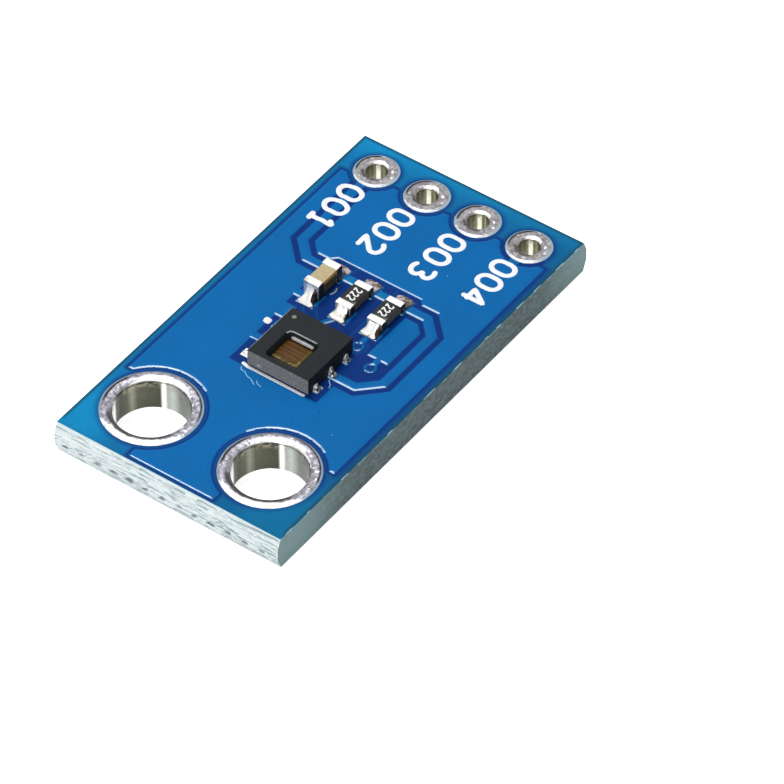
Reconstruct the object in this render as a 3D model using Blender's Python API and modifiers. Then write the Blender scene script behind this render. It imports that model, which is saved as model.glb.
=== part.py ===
"""A temperature and humidity sensor module: a small two-sided circuit board with a row of four
plated pin holes at one end, two plated mounting holes at the other, and a sensor package, a
capacitor and two pull-up resistors soldered between them.

Sizes below are in millimetres; the objects are built in metres, +Z up. The origin is under the
middle of the board, at the level of the plated rings that it lies on. +X runs along the pin row,
from the supply pin to the ground pin, and +Y points to the pin row.
"""

import math

import bmesh
import bpy
from mathutils import Matrix, Vector

MM = 0.001
WELD = 1e-7

# Board
BOARD_WIDTH = 10.95
BOARD_LENGTH = 20.5
FINISHED_THICKNESS = 1.6
SCORE_DEPTH = 0.47
SCORE_RUN = 0.2
COPPER_RISE = 0.04
LAYER_GAP = 0.004
FIT_GAP = 0.01

# How far a cutter reaches past what it cuts
CUT_REACH = 0.5

# Edges that turn more than this, in degrees, are the ones that get broken
SHARP_TURN = 50

# Pin holes
PIN_PITCH = 2.54
PIN_ROW_INSET = 1.48
PIN_BORE = 0.9
PIN_RING = 1.96
PIN_CLEARANCE = 0.22
PIN_WALL = 0.05
PIN_LIP_WIDTH = 0.15
PIN_LIP_DROP = 0.1
PIN_SIDES = 20

# Mounting holes
MOUNT_SIDE_INSET = 2.565
MOUNT_END_INSET = 2.75
MOUNT_BORE = 3.1
MOUNT_RING = 4.17
MOUNT_CLEARANCE = 0.22
MOUNT_WALL = 0.08
MOUNT_LIP_WIDTH = 0.3
MOUNT_LIP_DROP = 0.15
MOUNT_SIDES = 36

# Plated rings stand proud of the coated copper by this much, with rounded outer edges
RING_PROUD = 0.03
RING_SHOULDER = 0.1

# Vias
VIA_BORE = 0.3
VIA_LAND = 0.56
VIA_WALL = 0.03
VIA_SIDES = 12

# Copper
TRACE_WIDTH = 0.44
TRACE_GAP = 0.25
THIN_TRACE = 0.25
SPOKE_WIDTH = 0.42
POUR_SIDE_INSET = 0.415
POUR_END_INSET = 0.15
POUR_TOP_INSET = 1.87
POUR_SHOULDER_DROP = 0.33
POUR_SHOULDER_REACH = 0.32
POUR_TAIL_RISE = 1.3
POUR_FOOT_HALF_WIDTH = 2.08
SLOT_CORNER = 0.2
SUPPLY_PIN_OFFSET = 0.055
SUPPLY_FIRST_BEND = 0.795
LOOP_REACH = 1.62
LOOP_TOP_BEND = 0.745
LOOP_FOOT_BEND = 0.785
ISLAND_GAP = 0.13
ISLAND_CORNER = 0.4
ISLAND_FOOT_RISE = 0.52
ISLAND_SPOKE = 0.28
GROUND_VIA_GAP = 0.68
GROUND_VIA_RISE = 0.21
CLOCK_VIA_DROP = 0.63
DATA_VIA_SHIFT = 0.585
DATA_VIA_DROP = 0.73
FIELD_FOOT_DROP = 0.61
SHELF_DEPTH = 0.46
SHELF_RISE = 0.44
SHELF_HEIGHT = 0.84

# Sensor package and its lands
FOOTPRINT_X = 0.0
SENSOR_Y = -1.83
SENSOR_DRIFT = 0.174
SENSOR_SIDE = 3.0
SENSOR_HEIGHT = 0.77
SENSOR_EDGE = 0.03
SENSOR_PITCH = 1.0
STAND_OFF = 0.03
WINDOW_SIZE = (1.54, 1.68)
WINDOW_OFFSET = (-0.064, -0.43)
WINDOW_CORNER = 0.16
WINDOW_DEPTH = 0.5
DIE_THICKNESS = 0.1
DIE_INSET = 0.02
FILM_THICKNESS = 0.03
CONTACT_LENGTH = 0.42
CONTACT_WIDTH = 0.34
CONTACT_HEIGHT = 0.2
PADDLE_WIDTH = 1.4
PADDLE_LENGTH = 2.3
PADDLE_THICKNESS = 0.17
SENSOR_LAND_UNDER = 0.35
SENSOR_LAND_REACH = 0.4
SENSOR_LAND_WIDTH = 0.42
SENSOR_JOINT_TIP = 0.03

# Capacitor and resistors
PASSIVE_LENGTH = 1.6
PASSIVE_WIDTH = 0.8
PASSIVE_PITCH = 1.56
PASSIVE_MID_X = 0.035
PASSIVE_Y = 2.0
PASSIVE_DRIFT = 0.075
CAPACITOR_HEIGHT = 0.78
RESISTOR_HEIGHT = 0.45
CAPACITOR_BAND = 0.36
RESISTOR_BAND = 0.33
BAND_SKIN = 0.05
BAND_ROUND = 0.04
GLAZE_THICKNESS = 0.03
LAND_WIDTH = 0.9
LAND_LENGTH = 0.92
LAND_REACH = 0.56
CAPACITOR_FILLET = 0.62
RESISTOR_FILLET = 0.38
FILLET_INSET = 0.02
FILLET_TIP = 0.04
FILLET_STEPS = 5
FILLET_HOLLOW = 1.3

# Levels that follow from the sizes above
COPPER_TOP = RING_PROUD + FINISHED_THICKNESS
COPPER_LOW = RING_PROUD
BOARD_TOP = COPPER_TOP - COPPER_RISE
BOARD_LOW = COPPER_LOW + COPPER_RISE
RING_TOP = COPPER_TOP + RING_PROUD
TOP_COPPER = (BOARD_TOP + LAYER_GAP, COPPER_TOP)
LOW_COPPER = (COPPER_LOW, BOARD_LOW - LAYER_GAP)
PART_LOW = COPPER_TOP + STAND_OFF

# Places that follow from the sizes above
PIN_Y = BOARD_LENGTH / 2 - PIN_ROW_INSET
PIN_X = [(place - 1.5) * PIN_PITCH for place in range(4)]
MOUNT_Y = MOUNT_END_INSET - BOARD_LENGTH / 2
MOUNT_X = [sign * (BOARD_WIDTH / 2 - MOUNT_SIDE_INSET) for sign in (-1, 1)]
PASSIVE_X = [PASSIVE_MID_X + (place - 1) * PASSIVE_PITCH for place in range(3)]
LAND_MID_Y = PASSIVE_Y + PASSIVE_DRIFT
LAND_SPAN = PASSIVE_LENGTH + 2 * LAND_REACH
SUPPLY_LAND_Y = LAND_MID_Y + (LAND_SPAN - LAND_LENGTH) / 2
SIGNAL_LAND_Y = LAND_MID_Y - (LAND_SPAN - LAND_LENGTH) / 2
LAND_RIGHT = PASSIVE_X[2] + LAND_WIDTH / 2
LAND_LEFT = PASSIVE_X[0] - LAND_WIDTH / 2
LAND_FOOT = LAND_MID_Y - LAND_SPAN / 2
SENSOR_X = FOOTPRINT_X + SENSOR_DRIFT
SENSOR_PIN_Y = [SENSOR_Y + (1 - place) * SENSOR_PITCH for place in range(3)]
SENSOR_LAND_IN = SENSOR_SIDE / 2 - SENSOR_LAND_UNDER
SENSOR_LAND_OUT = SENSOR_SIDE / 2 + SENSOR_LAND_REACH
POUR_SIDE = BOARD_WIDTH / 2 - POUR_SIDE_INSET
POUR_TOP = BOARD_LENGTH / 2 - POUR_TOP_INSET
POUR_FOOT = POUR_END_INSET - BOARD_LENGTH / 2
LOOP_X = LAND_RIGHT + LOOP_REACH
GROUND_VIA = (LAND_RIGHT + GROUND_VIA_GAP, SENSOR_PIN_Y[0] + GROUND_VIA_RISE)
CLOCK_VIA = (PASSIVE_X[2], LAND_FOOT - CLOCK_VIA_DROP)
DATA_VIA = (PASSIVE_X[1] - DATA_VIA_SHIFT, LAND_FOOT - DATA_VIA_DROP)
SUPPLY_START_X = PIN_X[0] - SUPPLY_PIN_OFFSET
SUPPLY_LOOP = [
    (LOOP_X - LOOP_TOP_BEND, SUPPLY_LAND_Y),
    (LOOP_X, SUPPLY_LAND_Y - LOOP_TOP_BEND),
    (LOOP_X, SENSOR_PIN_Y[1] + LOOP_FOOT_BEND),
    (LOOP_X - LOOP_FOOT_BEND, SENSOR_PIN_Y[1]),
]
SUPPLY_ROUTE = [
    (SUPPLY_START_X, PIN_Y),
    (SUPPLY_START_X, SUPPLY_LAND_Y + SUPPLY_FIRST_BEND),
    (SUPPLY_START_X + SUPPLY_FIRST_BEND, SUPPLY_LAND_Y),
    *SUPPLY_LOOP,
    (FOOTPRINT_X + SENSOR_LAND_OUT - TRACE_GAP, SENSOR_PIN_Y[1]),
]


def new_collection(name):
    """Makes a collection under the scene's own."""
    made = bpy.data.collections.new(name)
    bpy.context.scene.collection.children.link(made)
    return made


def finish(name, colour, roughness, metallic):
    """Makes a Principled material."""
    made = bpy.data.materials.new(name)
    made.use_nodes = True
    shader = made.node_tree.nodes["Principled BSDF"]
    shader.inputs["Base Color"].default_value = (*colour, 1.0)
    shader.inputs["Roughness"].default_value = roughness
    shader.inputs["Metallic"].default_value = metallic
    return made


def add_object(name, mesh, material=None):
    """Puts a mesh in the module, or among the cutters where it has no material."""
    made = bpy.data.objects.new(name, mesh)
    if material is None:
        CUTTERS.objects.link(made)
        made.hide_render = True
        made.display_type = "WIRE"
    else:
        MODULE.objects.link(made)
        mesh.materials.append(material)
    return made


def apply_matrix(mesh, matrix):
    """Moves a mesh's points and keeps its faces pointing outwards."""
    mesh.transform(matrix)
    if matrix.determinant() < 0:
        mesh.flip_normals()


def plate(name, loops, low, high, material=None, along="Z"):
    """Extrudes flat outlines from low to high along Z, or outlines in Y and Z along X."""
    curve = bpy.data.curves.new(name, "CURVE")
    curve.dimensions = "2D"
    curve.fill_mode = "BOTH"
    curve.extrude = (high - low) / 2
    for loop in loops:
        spline = curve.splines.new("POLY")
        spline.points.add(len(loop) - 1)
        for point, place in zip(spline.points, loop):
            point.co = (place[0], place[1], 0.0, 1.0)
        spline.use_cyclic_u = True
    outline = bpy.data.objects.new(name + "_outline", curve)
    CUTTERS.objects.link(outline)
    lift = Matrix.Translation((0.0, 0.0, (low + high) / 2))
    turn = Matrix.Identity(4)
    if along == "X":
        turn = Matrix(((0, 0, 1, 0), (1, 0, 0, 0), (0, 1, 0, 0), (0, 0, 0, 1)))
    outline.matrix_world = Matrix.Scale(MM, 4) @ turn @ lift
    bpy.context.view_layer.update()
    ready = outline.evaluated_get(bpy.context.evaluated_depsgraph_get())
    mesh = bpy.data.meshes.new_from_object(ready)
    apply_matrix(mesh, outline.matrix_world)
    bpy.data.objects.remove(outline)
    bpy.data.curves.remove(curve)
    shape = bmesh.new()
    shape.from_mesh(mesh)
    bmesh.ops.remove_doubles(shape, verts=shape.verts, dist=WELD)
    bmesh.ops.recalc_face_normals(shape, faces=shape.faces)
    shape.to_mesh(mesh)
    shape.free()
    mesh.name = name
    return add_object(name, mesh, material)


def rectangle(x_low, x_high, y_low, y_high):
    """The four corners of a rectangle."""
    return [(x_low, y_low), (x_high, y_low), (x_high, y_high), (x_low, y_high)]


def land(x, y, x_size, y_size):
    """A rectangle round its centre."""
    return rectangle(x - x_size / 2, x + x_size / 2, y - y_size / 2, y + y_size / 2)


def ring_of(x, y, radius, sides):
    """A circle as a closed polygon."""
    turns = [2 * math.pi * place / sides for place in range(sides)]
    return [(x + radius * math.cos(turn), y + radius * math.sin(turn)) for turn in turns]


def rounded(x_low, x_high, y_low, y_high, radius, steps=4):
    """A rectangle with round corners."""
    corners = (
        (x_high - radius, y_high - radius, 0),
        (x_low + radius, y_high - radius, 90),
        (x_low + radius, y_low + radius, 180),
        (x_high - radius, y_low + radius, 270),
    )
    points = []
    for x, y, start in corners:
        for step in range(steps + 1):
            turn = math.radians(start + 90 * step / steps)
            points.append((x + radius * math.cos(turn), y + radius * math.sin(turn)))
    return points


def stroke(route, width):
    """The outline of a strip of even width along a route, with mitred corners."""
    sides = ([], [])
    last = len(route) - 1
    for place, point in enumerate(route):
        here = Vector(point)
        before = (here - Vector(route[place - 1])).normalized() if place else None
        after = (Vector(route[place + 1]) - here).normalized() if place < last else None
        before = before or after
        after = after or before
        middle = (before + after).normalized()
        reach = width / 2 / middle.dot(before)
        across = Vector((-middle.y, middle.x)) * reach
        sides[0].append(tuple(here + across))
        sides[1].append(tuple(here - across))
    return sides[0] + sides[1][::-1]


def boolean(target, others, operation):
    """Cuts others from the target or joins them to it."""
    for other in others:
        step = target.modifiers.new(f"{operation.lower()} {other.name}", "BOOLEAN")
        step.operation = operation
        step.solver = "EXACT"
        step.object = other


def cylinder(name, x, y, radius, sides, low, high, material=None):
    """A round bar along Z."""
    shape = bmesh.new()
    bmesh.ops.create_cone(
        shape,
        cap_ends=True,
        segments=sides,
        radius1=radius * MM,
        radius2=radius * MM,
        depth=(high - low) * MM,
        matrix=Matrix.Translation(Vector((x, y, (low + high) / 2)) * MM),
    )
    mesh = bpy.data.meshes.new(name)
    shape.to_mesh(mesh)
    shape.free()
    return add_object(name, mesh, material)


def block(name, x_span, y_span, z_span, material=None, edge=0.0):
    """A box between two values along each axis, its edges broken by a flat where a width is given."""
    low = Vector((x_span[0], y_span[0], z_span[0]))
    high = Vector((x_span[1], y_span[1], z_span[1]))
    shape = bmesh.new()
    bmesh.ops.create_cube(shape, size=1.0)
    bmesh.ops.scale(shape, vec=(high - low) * MM, verts=shape.verts)
    bmesh.ops.translate(shape, vec=(high + low) / 2 * MM, verts=shape.verts)
    mesh = bpy.data.meshes.new(name)
    shape.to_mesh(mesh)
    shape.free()
    made = add_object(name, mesh, material)
    if edge:
        soften(made, edge)
    return made


def soften(target, width):
    """Bevels the sharp edges of a piece."""
    step = target.modifiers.new("edge", "BEVEL")
    step.width = width * MM
    step.segments = 1
    step.limit_method = "ANGLE"
    step.angle_limit = math.radians(SHARP_TURN)


def turned(name, x, y, profile, sides, material):
    """Turns a closed profile of radius and height about a vertical axis."""
    mesh = bpy.data.meshes.new(name)
    points = [(radius * MM, 0.0, height * MM) for radius, height in profile]
    edges = [(place, (place + 1) % len(points)) for place in range(len(points))]
    mesh.from_pydata(points, edges, [])
    made = add_object(name, mesh, material)
    made.location = Vector((x, y, 0.0)) * MM
    step = made.modifiers.new("turn", "SCREW")
    step.axis = "Z"
    step.steps = sides
    step.render_steps = sides
    step.use_merge_vertices = False
    step.use_smooth_shade = True
    return made


def plating_profile(bore, wall, ring, lip_width, lip_drop, steps):
    """The section of a plated hole: a barrel with a ring on each face, domed at its edges.

    It runs down the outer side and up the bore, so that the turned faces point outwards.
    """
    under = BOARD_TOP + LAYER_GAP
    rim = COPPER_TOP - LAYER_GAP
    outer = [(bore / 2 + wall, under), (ring / 2, under)]
    for step in range(1, steps + 1):
        turn = math.radians(90 * step / steps)
        radius = ring / 2 - RING_SHOULDER * (1 - math.cos(turn))
        outer.append((radius, rim + (RING_TOP - rim) * math.sin(turn)))
    inner = []
    for step in range(steps + 1):
        turn = math.radians(90 * step / steps)
        radius = bore / 2 + lip_width * (1 - math.sin(turn))
        inner.append((radius, RING_TOP - lip_drop * (1 - math.cos(turn))))
    upper = outer + inner
    lower = [(radius, RING_TOP - height) for radius, height in upper[::-1]]
    return (upper + lower)[::-1]


def plated_hole(name, x, y, sizes, sides, steps):
    """A plated hole with its two rings."""
    return turned(name, x, y, plating_profile(*sizes, steps), sides, TINNED)


def via(name, place):
    """The barrel of a small plated hole, which joins a top net to a bottom one."""
    bore, outer = VIA_BORE / 2, VIA_BORE / 2 + VIA_WALL
    profile = [(bore, COPPER_TOP), (outer, COPPER_TOP), (outer, COPPER_LOW), (bore, COPPER_LOW)]
    return turned(name, *place, profile, VIA_SIDES, COATED)


def join_via(net, name, place, span):
    """Gives a net its round land about a via, with room for the barrel."""
    disc = plate(f"{name}_via_land", [ring_of(*place, VIA_LAND / 2, VIA_SIDES)], *span)
    boolean(net, [disc], "UNION")
    barrel = (*place, VIA_BORE / 2 + VIA_WALL + FIT_GAP, VIA_SIDES)
    boolean(net, round_cutters(f"{name}_via_room", span, [barrel]), "DIFFERENCE")


def hole_cutters():
    """Cylinders for every plated hole in the laminate, a little larger than its barrel."""
    deep = (BOARD_LOW - CUT_REACH, BOARD_TOP + CUT_REACH)
    made = []
    for place, x in enumerate(MOUNT_X):
        radius = MOUNT_BORE / 2 + MOUNT_WALL + FIT_GAP
        made.append(cylinder(f"mount_drill_{place}", x, MOUNT_Y, radius, MOUNT_SIDES, *deep))
    for place, x in enumerate(PIN_X):
        radius = PIN_BORE / 2 + PIN_WALL + FIT_GAP
        made.append(cylinder(f"pin_drill_{place}", x, PIN_Y, radius, PIN_SIDES, *deep))
    for place, centre in enumerate((GROUND_VIA, CLOCK_VIA, DATA_VIA)):
        radius = VIA_BORE / 2 + VIA_WALL + FIT_GAP
        made.append(cylinder(f"via_drill_{place}", *centre, radius, VIA_SIDES, *deep))
    return made


def build_board():
    """The glass-fibre board: its ends keep the broken web between two score lines."""
    end = BOARD_LENGTH / 2
    web = end + SCORE_RUN
    low, high = BOARD_LOW, BOARD_TOP
    web_low, web_high = low + SCORE_DEPTH, high - SCORE_DEPTH
    section = [(-end, low), (end, low), (web, web_low), (web, web_high)]
    section += [(end, high), (-end, high), (-web, web_high), (-web, web_low)]
    half = BOARD_WIDTH / 2
    board = plate("board", [section], -half, half, LAMINATE, along="X")
    boolean(board, hole_cutters(), "DIFFERENCE")
    return board


def round_cutters(name, span, rings):
    """Cylinders through one copper layer, each ring given as x, y, radius and number of sides."""
    low, high = span[0] - CUT_REACH, span[1] + CUT_REACH
    made = []
    for place, ring in enumerate(rings):
        made.append(cylinder(f"{name}_{place}", *ring, low, high))
    return made


def flat_cutter(name, outline, span):
    """A plate that reaches through one copper layer."""
    return plate(name, [outline], span[0] - CUT_REACH, span[1] + CUT_REACH)


def clearances(name, span, joined_pin=None):
    """Room in a copper pour round the plated rings. A joined pin is only cleared by the layer gap."""
    rows = []
    for x in MOUNT_X:
        rows.append((x, MOUNT_Y, MOUNT_RING / 2 + MOUNT_CLEARANCE, MOUNT_SIDES))
    for place, x in enumerate(PIN_X):
        room = FIT_GAP if place == joined_pin else PIN_CLEARANCE
        rows.append((x, PIN_Y, PIN_RING / 2 + room, PIN_SIDES))
    return round_cutters(name, span, rows)


def span_beside(sign, inner, outer):
    """A span in X on one side of the middle, from its inner to its outer distance."""
    return sorted((sign * inner, sign * outer))


def pour_trims(name, span):
    """Corners that are too narrow for copper, beside the end pins and the mounting holes."""
    top = POUR_TOP + CUT_REACH
    foot = POUR_FOOT - CUT_REACH
    side = POUR_SIDE + CUT_REACH
    made = []
    for sign in (-1, 1):
        shoulder = span_beside(sign, POUR_SIDE - POUR_SHOULDER_REACH, side)
        beside = span_beside(sign, MOUNT_X[1], side)
        under = span_beside(sign, POUR_FOOT_HALF_WIDTH, side)
        outlines = {
            "shoulder": rectangle(*shoulder, POUR_TOP - POUR_SHOULDER_DROP, top),
            "beside": rectangle(*beside, foot, MOUNT_Y + POUR_TAIL_RISE),
            "under": rectangle(*under, foot, MOUNT_Y - MOUNT_BORE / 2),
        }
        for part, outline in outlines.items():
            made.append(flat_cutter(f"{name}_{part}_{sign}", outline, span))
    return made


def component_field():
    """The outline of the bare area inside the supply run, round the sensor and the passives."""
    side = SENSOR_LAND_OUT + TRACE_GAP
    foot = SENSOR_PIN_Y[2] - FIELD_FOOT_DROP
    shelf_low = SENSOR_PIN_Y[0] + SHELF_RISE
    shelf_high = shelf_low + SHELF_HEIGHT
    return [
        (LAND_LEFT - TRACE_GAP, SUPPLY_LAND_Y),
        *SUPPLY_LOOP,
        (FOOTPRINT_X + side, SENSOR_PIN_Y[1]),
        (FOOTPRINT_X + side, foot),
        (FOOTPRINT_X - side, foot),
        (FOOTPRINT_X - side, shelf_low),
        (FOOTPRINT_X - side + SHELF_DEPTH, shelf_low),
        (FOOTPRINT_X - side + SHELF_DEPTH, shelf_high),
        (LAND_LEFT - TRACE_GAP, shelf_high),
    ]


def component_slot():
    """The outline of the bare slot above the supply lands, with its upper corners cut off."""
    left, right = LAND_LEFT - TRACE_GAP, LAND_RIGHT + TRACE_GAP
    top = LAND_MID_Y + LAND_SPAN / 2 + TRACE_GAP
    return [
        (left, SUPPLY_LAND_Y),
        (right, SUPPLY_LAND_Y),
        (right, top - SLOT_CORNER),
        (right - SLOT_CORNER, top),
        (left + SLOT_CORNER, top),
        (left, top - SLOT_CORNER),
    ]


def build_pour():
    """The ground copper on the top face, with the supply run and the lands cut clear of it."""
    area = rectangle(-POUR_SIDE, POUR_SIDE, POUR_FOOT, POUR_TOP)
    pour = plate("copper_pour", [area], *TOP_COPPER, COATED)
    channel = stroke(SUPPLY_ROUTE, TRACE_WIDTH + 2 * TRACE_GAP)
    cutters = clearances("pour_clearance", TOP_COPPER)
    cutters += pour_trims("pour_trim", TOP_COPPER)
    cutters.append(flat_cutter("pour_channel", channel, TOP_COPPER))
    cutters.append(flat_cutter("pour_slot", component_slot(), TOP_COPPER))
    cutters.append(flat_cutter("pour_field", component_field(), TOP_COPPER))
    boolean(pour, cutters, "DIFFERENCE")
    reach = 2 * TRACE_GAP
    contact = (FOOTPRINT_X - SENSOR_LAND_IN, SENSOR_PIN_Y[1])
    ground = (PASSIVE_X[0], SIGNAL_LAND_Y)
    pin = (PIN_X[3], PIN_Y)
    joined = [
        strip("contact_spoke", (FOOTPRINT_X - SENSOR_LAND_OUT - reach, contact[1]), contact),
        strip("ground_spoke", (LAND_LEFT - reach, ground[1]), ground),
        strip("pin_spoke", (pin[0], PIN_Y - PIN_RING / 2 - reach), pin),
        plate("ground_land", [land(*ground, LAND_WIDTH, LAND_LENGTH)], *TOP_COPPER),
    ]
    boolean(pour, joined, "UNION")
    ring = (PIN_X[3], PIN_Y, PIN_RING / 2 + FIT_GAP, PIN_SIDES)
    boolean(pour, round_cutters("ground_pin_room", TOP_COPPER, [ring]), "DIFFERENCE")
    return pour


def strip(name, start, end, width=SPOKE_WIDTH):
    """A straight piece of top copper, for joining to another."""
    return plate(name, [stroke([start, end], width)], *TOP_COPPER)


def sensor_land(name, side, row, material=None):
    """One of the six lands under the sensor, on the side given by its sign."""
    middle = FOOTPRINT_X + side * (SENSOR_LAND_IN + SENSOR_LAND_OUT) / 2
    length = SENSOR_LAND_OUT - SENSOR_LAND_IN
    outline = land(middle, SENSOR_PIN_Y[row], length, SENSOR_LAND_WIDTH)
    return plate(name, [outline], *TOP_COPPER, material)


def build_supply_trace():
    """The supply run: from the first pin round the passives to the sensor."""
    trace = plate("supply_trace", [stroke(SUPPLY_ROUTE, TRACE_WIDTH)], *TOP_COPPER, COATED)
    joined = [sensor_land("supply_sensor_land", 1, 1)]
    for place, x in enumerate(PASSIVE_X):
        outline = land(x, SUPPLY_LAND_Y, LAND_WIDTH, LAND_LENGTH)
        joined.append(plate(f"supply_land_{place}", [outline], *TOP_COPPER))
    boolean(trace, joined, "UNION")
    ring = (PIN_X[0], PIN_Y, PIN_RING / 2 + FIT_GAP, PIN_SIDES)
    boolean(trace, round_cutters("supply_pin_room", TOP_COPPER, [ring]), "DIFFERENCE")
    return trace


def build_ground_island():
    """The patch of ground copper inside the supply run, joined to its via by a spoke."""
    left = LAND_RIGHT + ISLAND_GAP
    right = LOOP_X - TRACE_WIDTH / 2 - TRACE_GAP
    top = SUPPLY_LAND_Y - TRACE_WIDTH / 2 - TRACE_GAP
    foot = GROUND_VIA[1] + ISLAND_FOOT_RISE
    outline = [
        (left, foot),
        (right, foot),
        (right, top - ISLAND_CORNER),
        (right - ISLAND_CORNER, top),
        (left, top),
    ]
    island = plate("ground_island", [outline], *TOP_COPPER, COATED)
    spoke = strip("island_spoke", GROUND_VIA, (GROUND_VIA[0], foot + TRACE_GAP), ISLAND_SPOKE)
    boolean(island, [spoke], "UNION")
    join_via(island, "island", GROUND_VIA, TOP_COPPER)
    return island


def build_signal_traces():
    """The two signal nets on the top face, from a resistor's land to the sensor by way of a via."""
    contact = (FOOTPRINT_X + SENSOR_LAND_IN + THIN_TRACE, SENSOR_PIN_Y[0])
    clock_route = [(PASSIVE_X[2], SIGNAL_LAND_Y), CLOCK_VIA, contact]
    clock = plate("clock_trace", [stroke(clock_route, THIN_TRACE)], *TOP_COPPER, COATED)
    clock_land = land(PASSIVE_X[2], SIGNAL_LAND_Y, LAND_WIDTH, LAND_LENGTH)
    joined = [plate("clock_land", [clock_land], *TOP_COPPER)]
    joined.append(sensor_land("clock_sensor_land", 1, 0))
    boolean(clock, joined, "UNION")
    contact = (FOOTPRINT_X - SENSOR_LAND_IN - THIN_TRACE, SENSOR_PIN_Y[0])
    data_route = [(PASSIVE_X[1], LAND_FOOT + THIN_TRACE), DATA_VIA, contact]
    data = plate("data_trace", [stroke(data_route, THIN_TRACE)], *TOP_COPPER, COATED)
    data_land = land(PASSIVE_X[1], SIGNAL_LAND_Y, LAND_WIDTH, LAND_LENGTH)
    joined = [plate("data_land", [data_land], *TOP_COPPER)]
    joined.append(sensor_land("data_sensor_land", -1, 0))
    boolean(data, joined, "UNION")
    join_via(clock, "clock", CLOCK_VIA, TOP_COPPER)
    join_via(data, "data", DATA_VIA, TOP_COPPER)
    return clock, data


def build_spare_lands():
    """The lands that only hold the sensor: two unused contacts and the heat land."""
    for name, side in (("spare_land_left", -1), ("spare_land_right", 1)):
        sensor_land(name, side, 2, TINNED)
    plate("heat_land", [land(SENSOR_X, SENSOR_Y, PADDLE_WIDTH, PADDLE_LENGTH)], *TOP_COPPER, TINNED)


def build_bottom_copper():
    """The copper on the underside: ground with the two signal runs to their pins."""
    area = rectangle(-POUR_SIDE, POUR_SIDE, POUR_FOOT, POUR_TOP)
    pour = plate("bottom_pour", [area], *LOW_COPPER, COATED)
    cutters = clearances("bottom_clearance", LOW_COPPER, joined_pin=3)
    cutters += pour_trims("bottom_trim", LOW_COPPER)
    routes = (("clock_run", CLOCK_VIA, PIN_X[2]), ("data_run", DATA_VIA, PIN_X[1]))
    for name, place, x in routes:
        bend = (x, place[1] + abs(place[0] - x))
        route = [place, bend, (x, PIN_Y)]
        channel = stroke(route, THIN_TRACE + 2 * TRACE_GAP)
        cutters.append(flat_cutter(f"{name}_channel", channel, LOW_COPPER))
        around = (*place, VIA_LAND / 2 + TRACE_GAP, VIA_SIDES)
        cutters += round_cutters(f"{name}_via_clearance", LOW_COPPER, [around])
        run = plate(name, [stroke(route, THIN_TRACE)], *LOW_COPPER, COATED)
        join_via(run, name, place, LOW_COPPER)
        ring = (x, PIN_Y, PIN_RING / 2 + FIT_GAP, PIN_SIDES)
        boolean(run, round_cutters(f"{name}_pin_room", LOW_COPPER, [ring]), "DIFFERENCE")
    ground = (*GROUND_VIA, VIA_BORE / 2 + VIA_WALL + FIT_GAP, VIA_SIDES)
    cutters += round_cutters("ground_via_low_room", LOW_COPPER, [ground])
    boolean(pour, cutters, "DIFFERENCE")


def build_holes():
    """Every plated hole: two for mounting, four for pins and three vias."""
    mount = (MOUNT_BORE, MOUNT_WALL, MOUNT_RING, MOUNT_LIP_WIDTH, MOUNT_LIP_DROP)
    for side, x in zip(("left", "right"), MOUNT_X):
        plated_hole(f"mount_plating_{side}", x, MOUNT_Y, mount, MOUNT_SIDES, 3)
    pin = (PIN_BORE, PIN_WALL, PIN_RING, PIN_LIP_WIDTH, PIN_LIP_DROP)
    for net, x in zip(("supply", "data", "clock", "ground"), PIN_X):
        plated_hole(f"pin_plating_{net}", x, PIN_Y, pin, PIN_SIDES, 2)
    for net, place in (("ground", GROUND_VIA), ("clock", CLOCK_VIA), ("data", DATA_VIA)):
        via(f"via_{net}", place)


def fillet_profile(inner, outer, foot, height, tip):
    """A concave solder fillet: upright at inner, running out to a thin tip at outer."""
    points = [(inner, foot), (inner, foot + height)]
    for step in range(1, FILLET_STEPS + 1):
        turn = math.radians(90 * step / FILLET_STEPS)
        across = inner + (outer - inner) * math.sin(turn)
        up = foot + tip + (height - tip) * (1 - math.sin(turn)) ** FILLET_HOLLOW
        points.append((across, up))
    points.append((outer, foot))
    return points


def end_cap(name, x, y_end, side, height, band):
    """A metal end cap: a box that is open towards the middle of the part."""
    half = PASSIVE_WIDTH / 2
    z_span = (PART_LOW, PART_LOW + height)
    y_span = sorted((y_end, y_end - side * band))
    cap = block(name, (x - half, x + half), y_span, z_span, TINNED, edge=BAND_ROUND)
    room = BAND_SKIN - FIT_GAP
    inner = sorted((y_end - side * room, y_end - side * (band + CUT_REACH)))
    spans = (x - half + room, x + half - room), inner, (z_span[0] + room, z_span[1] - room)
    boolean(cap, [block(name + "_core", *spans)], "DIFFERENCE")
    return cap


def passive_joint(name, x, y_end, side, fillet):
    """The solder that rises from a land up the end of a capacitor or resistor."""
    half = PASSIVE_WIDTH / 2 - FILLET_INSET
    outer = LAND_MID_Y + side * (LAND_SPAN / 2 - FILLET_INSET)
    inner = y_end + side * FIT_GAP
    foot = COPPER_TOP + LAYER_GAP
    profile = fillet_profile(inner, outer, foot, fillet, FILLET_TIP)
    return plate(name, [profile], x - half, x + half, SOLDER, along="X")


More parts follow.
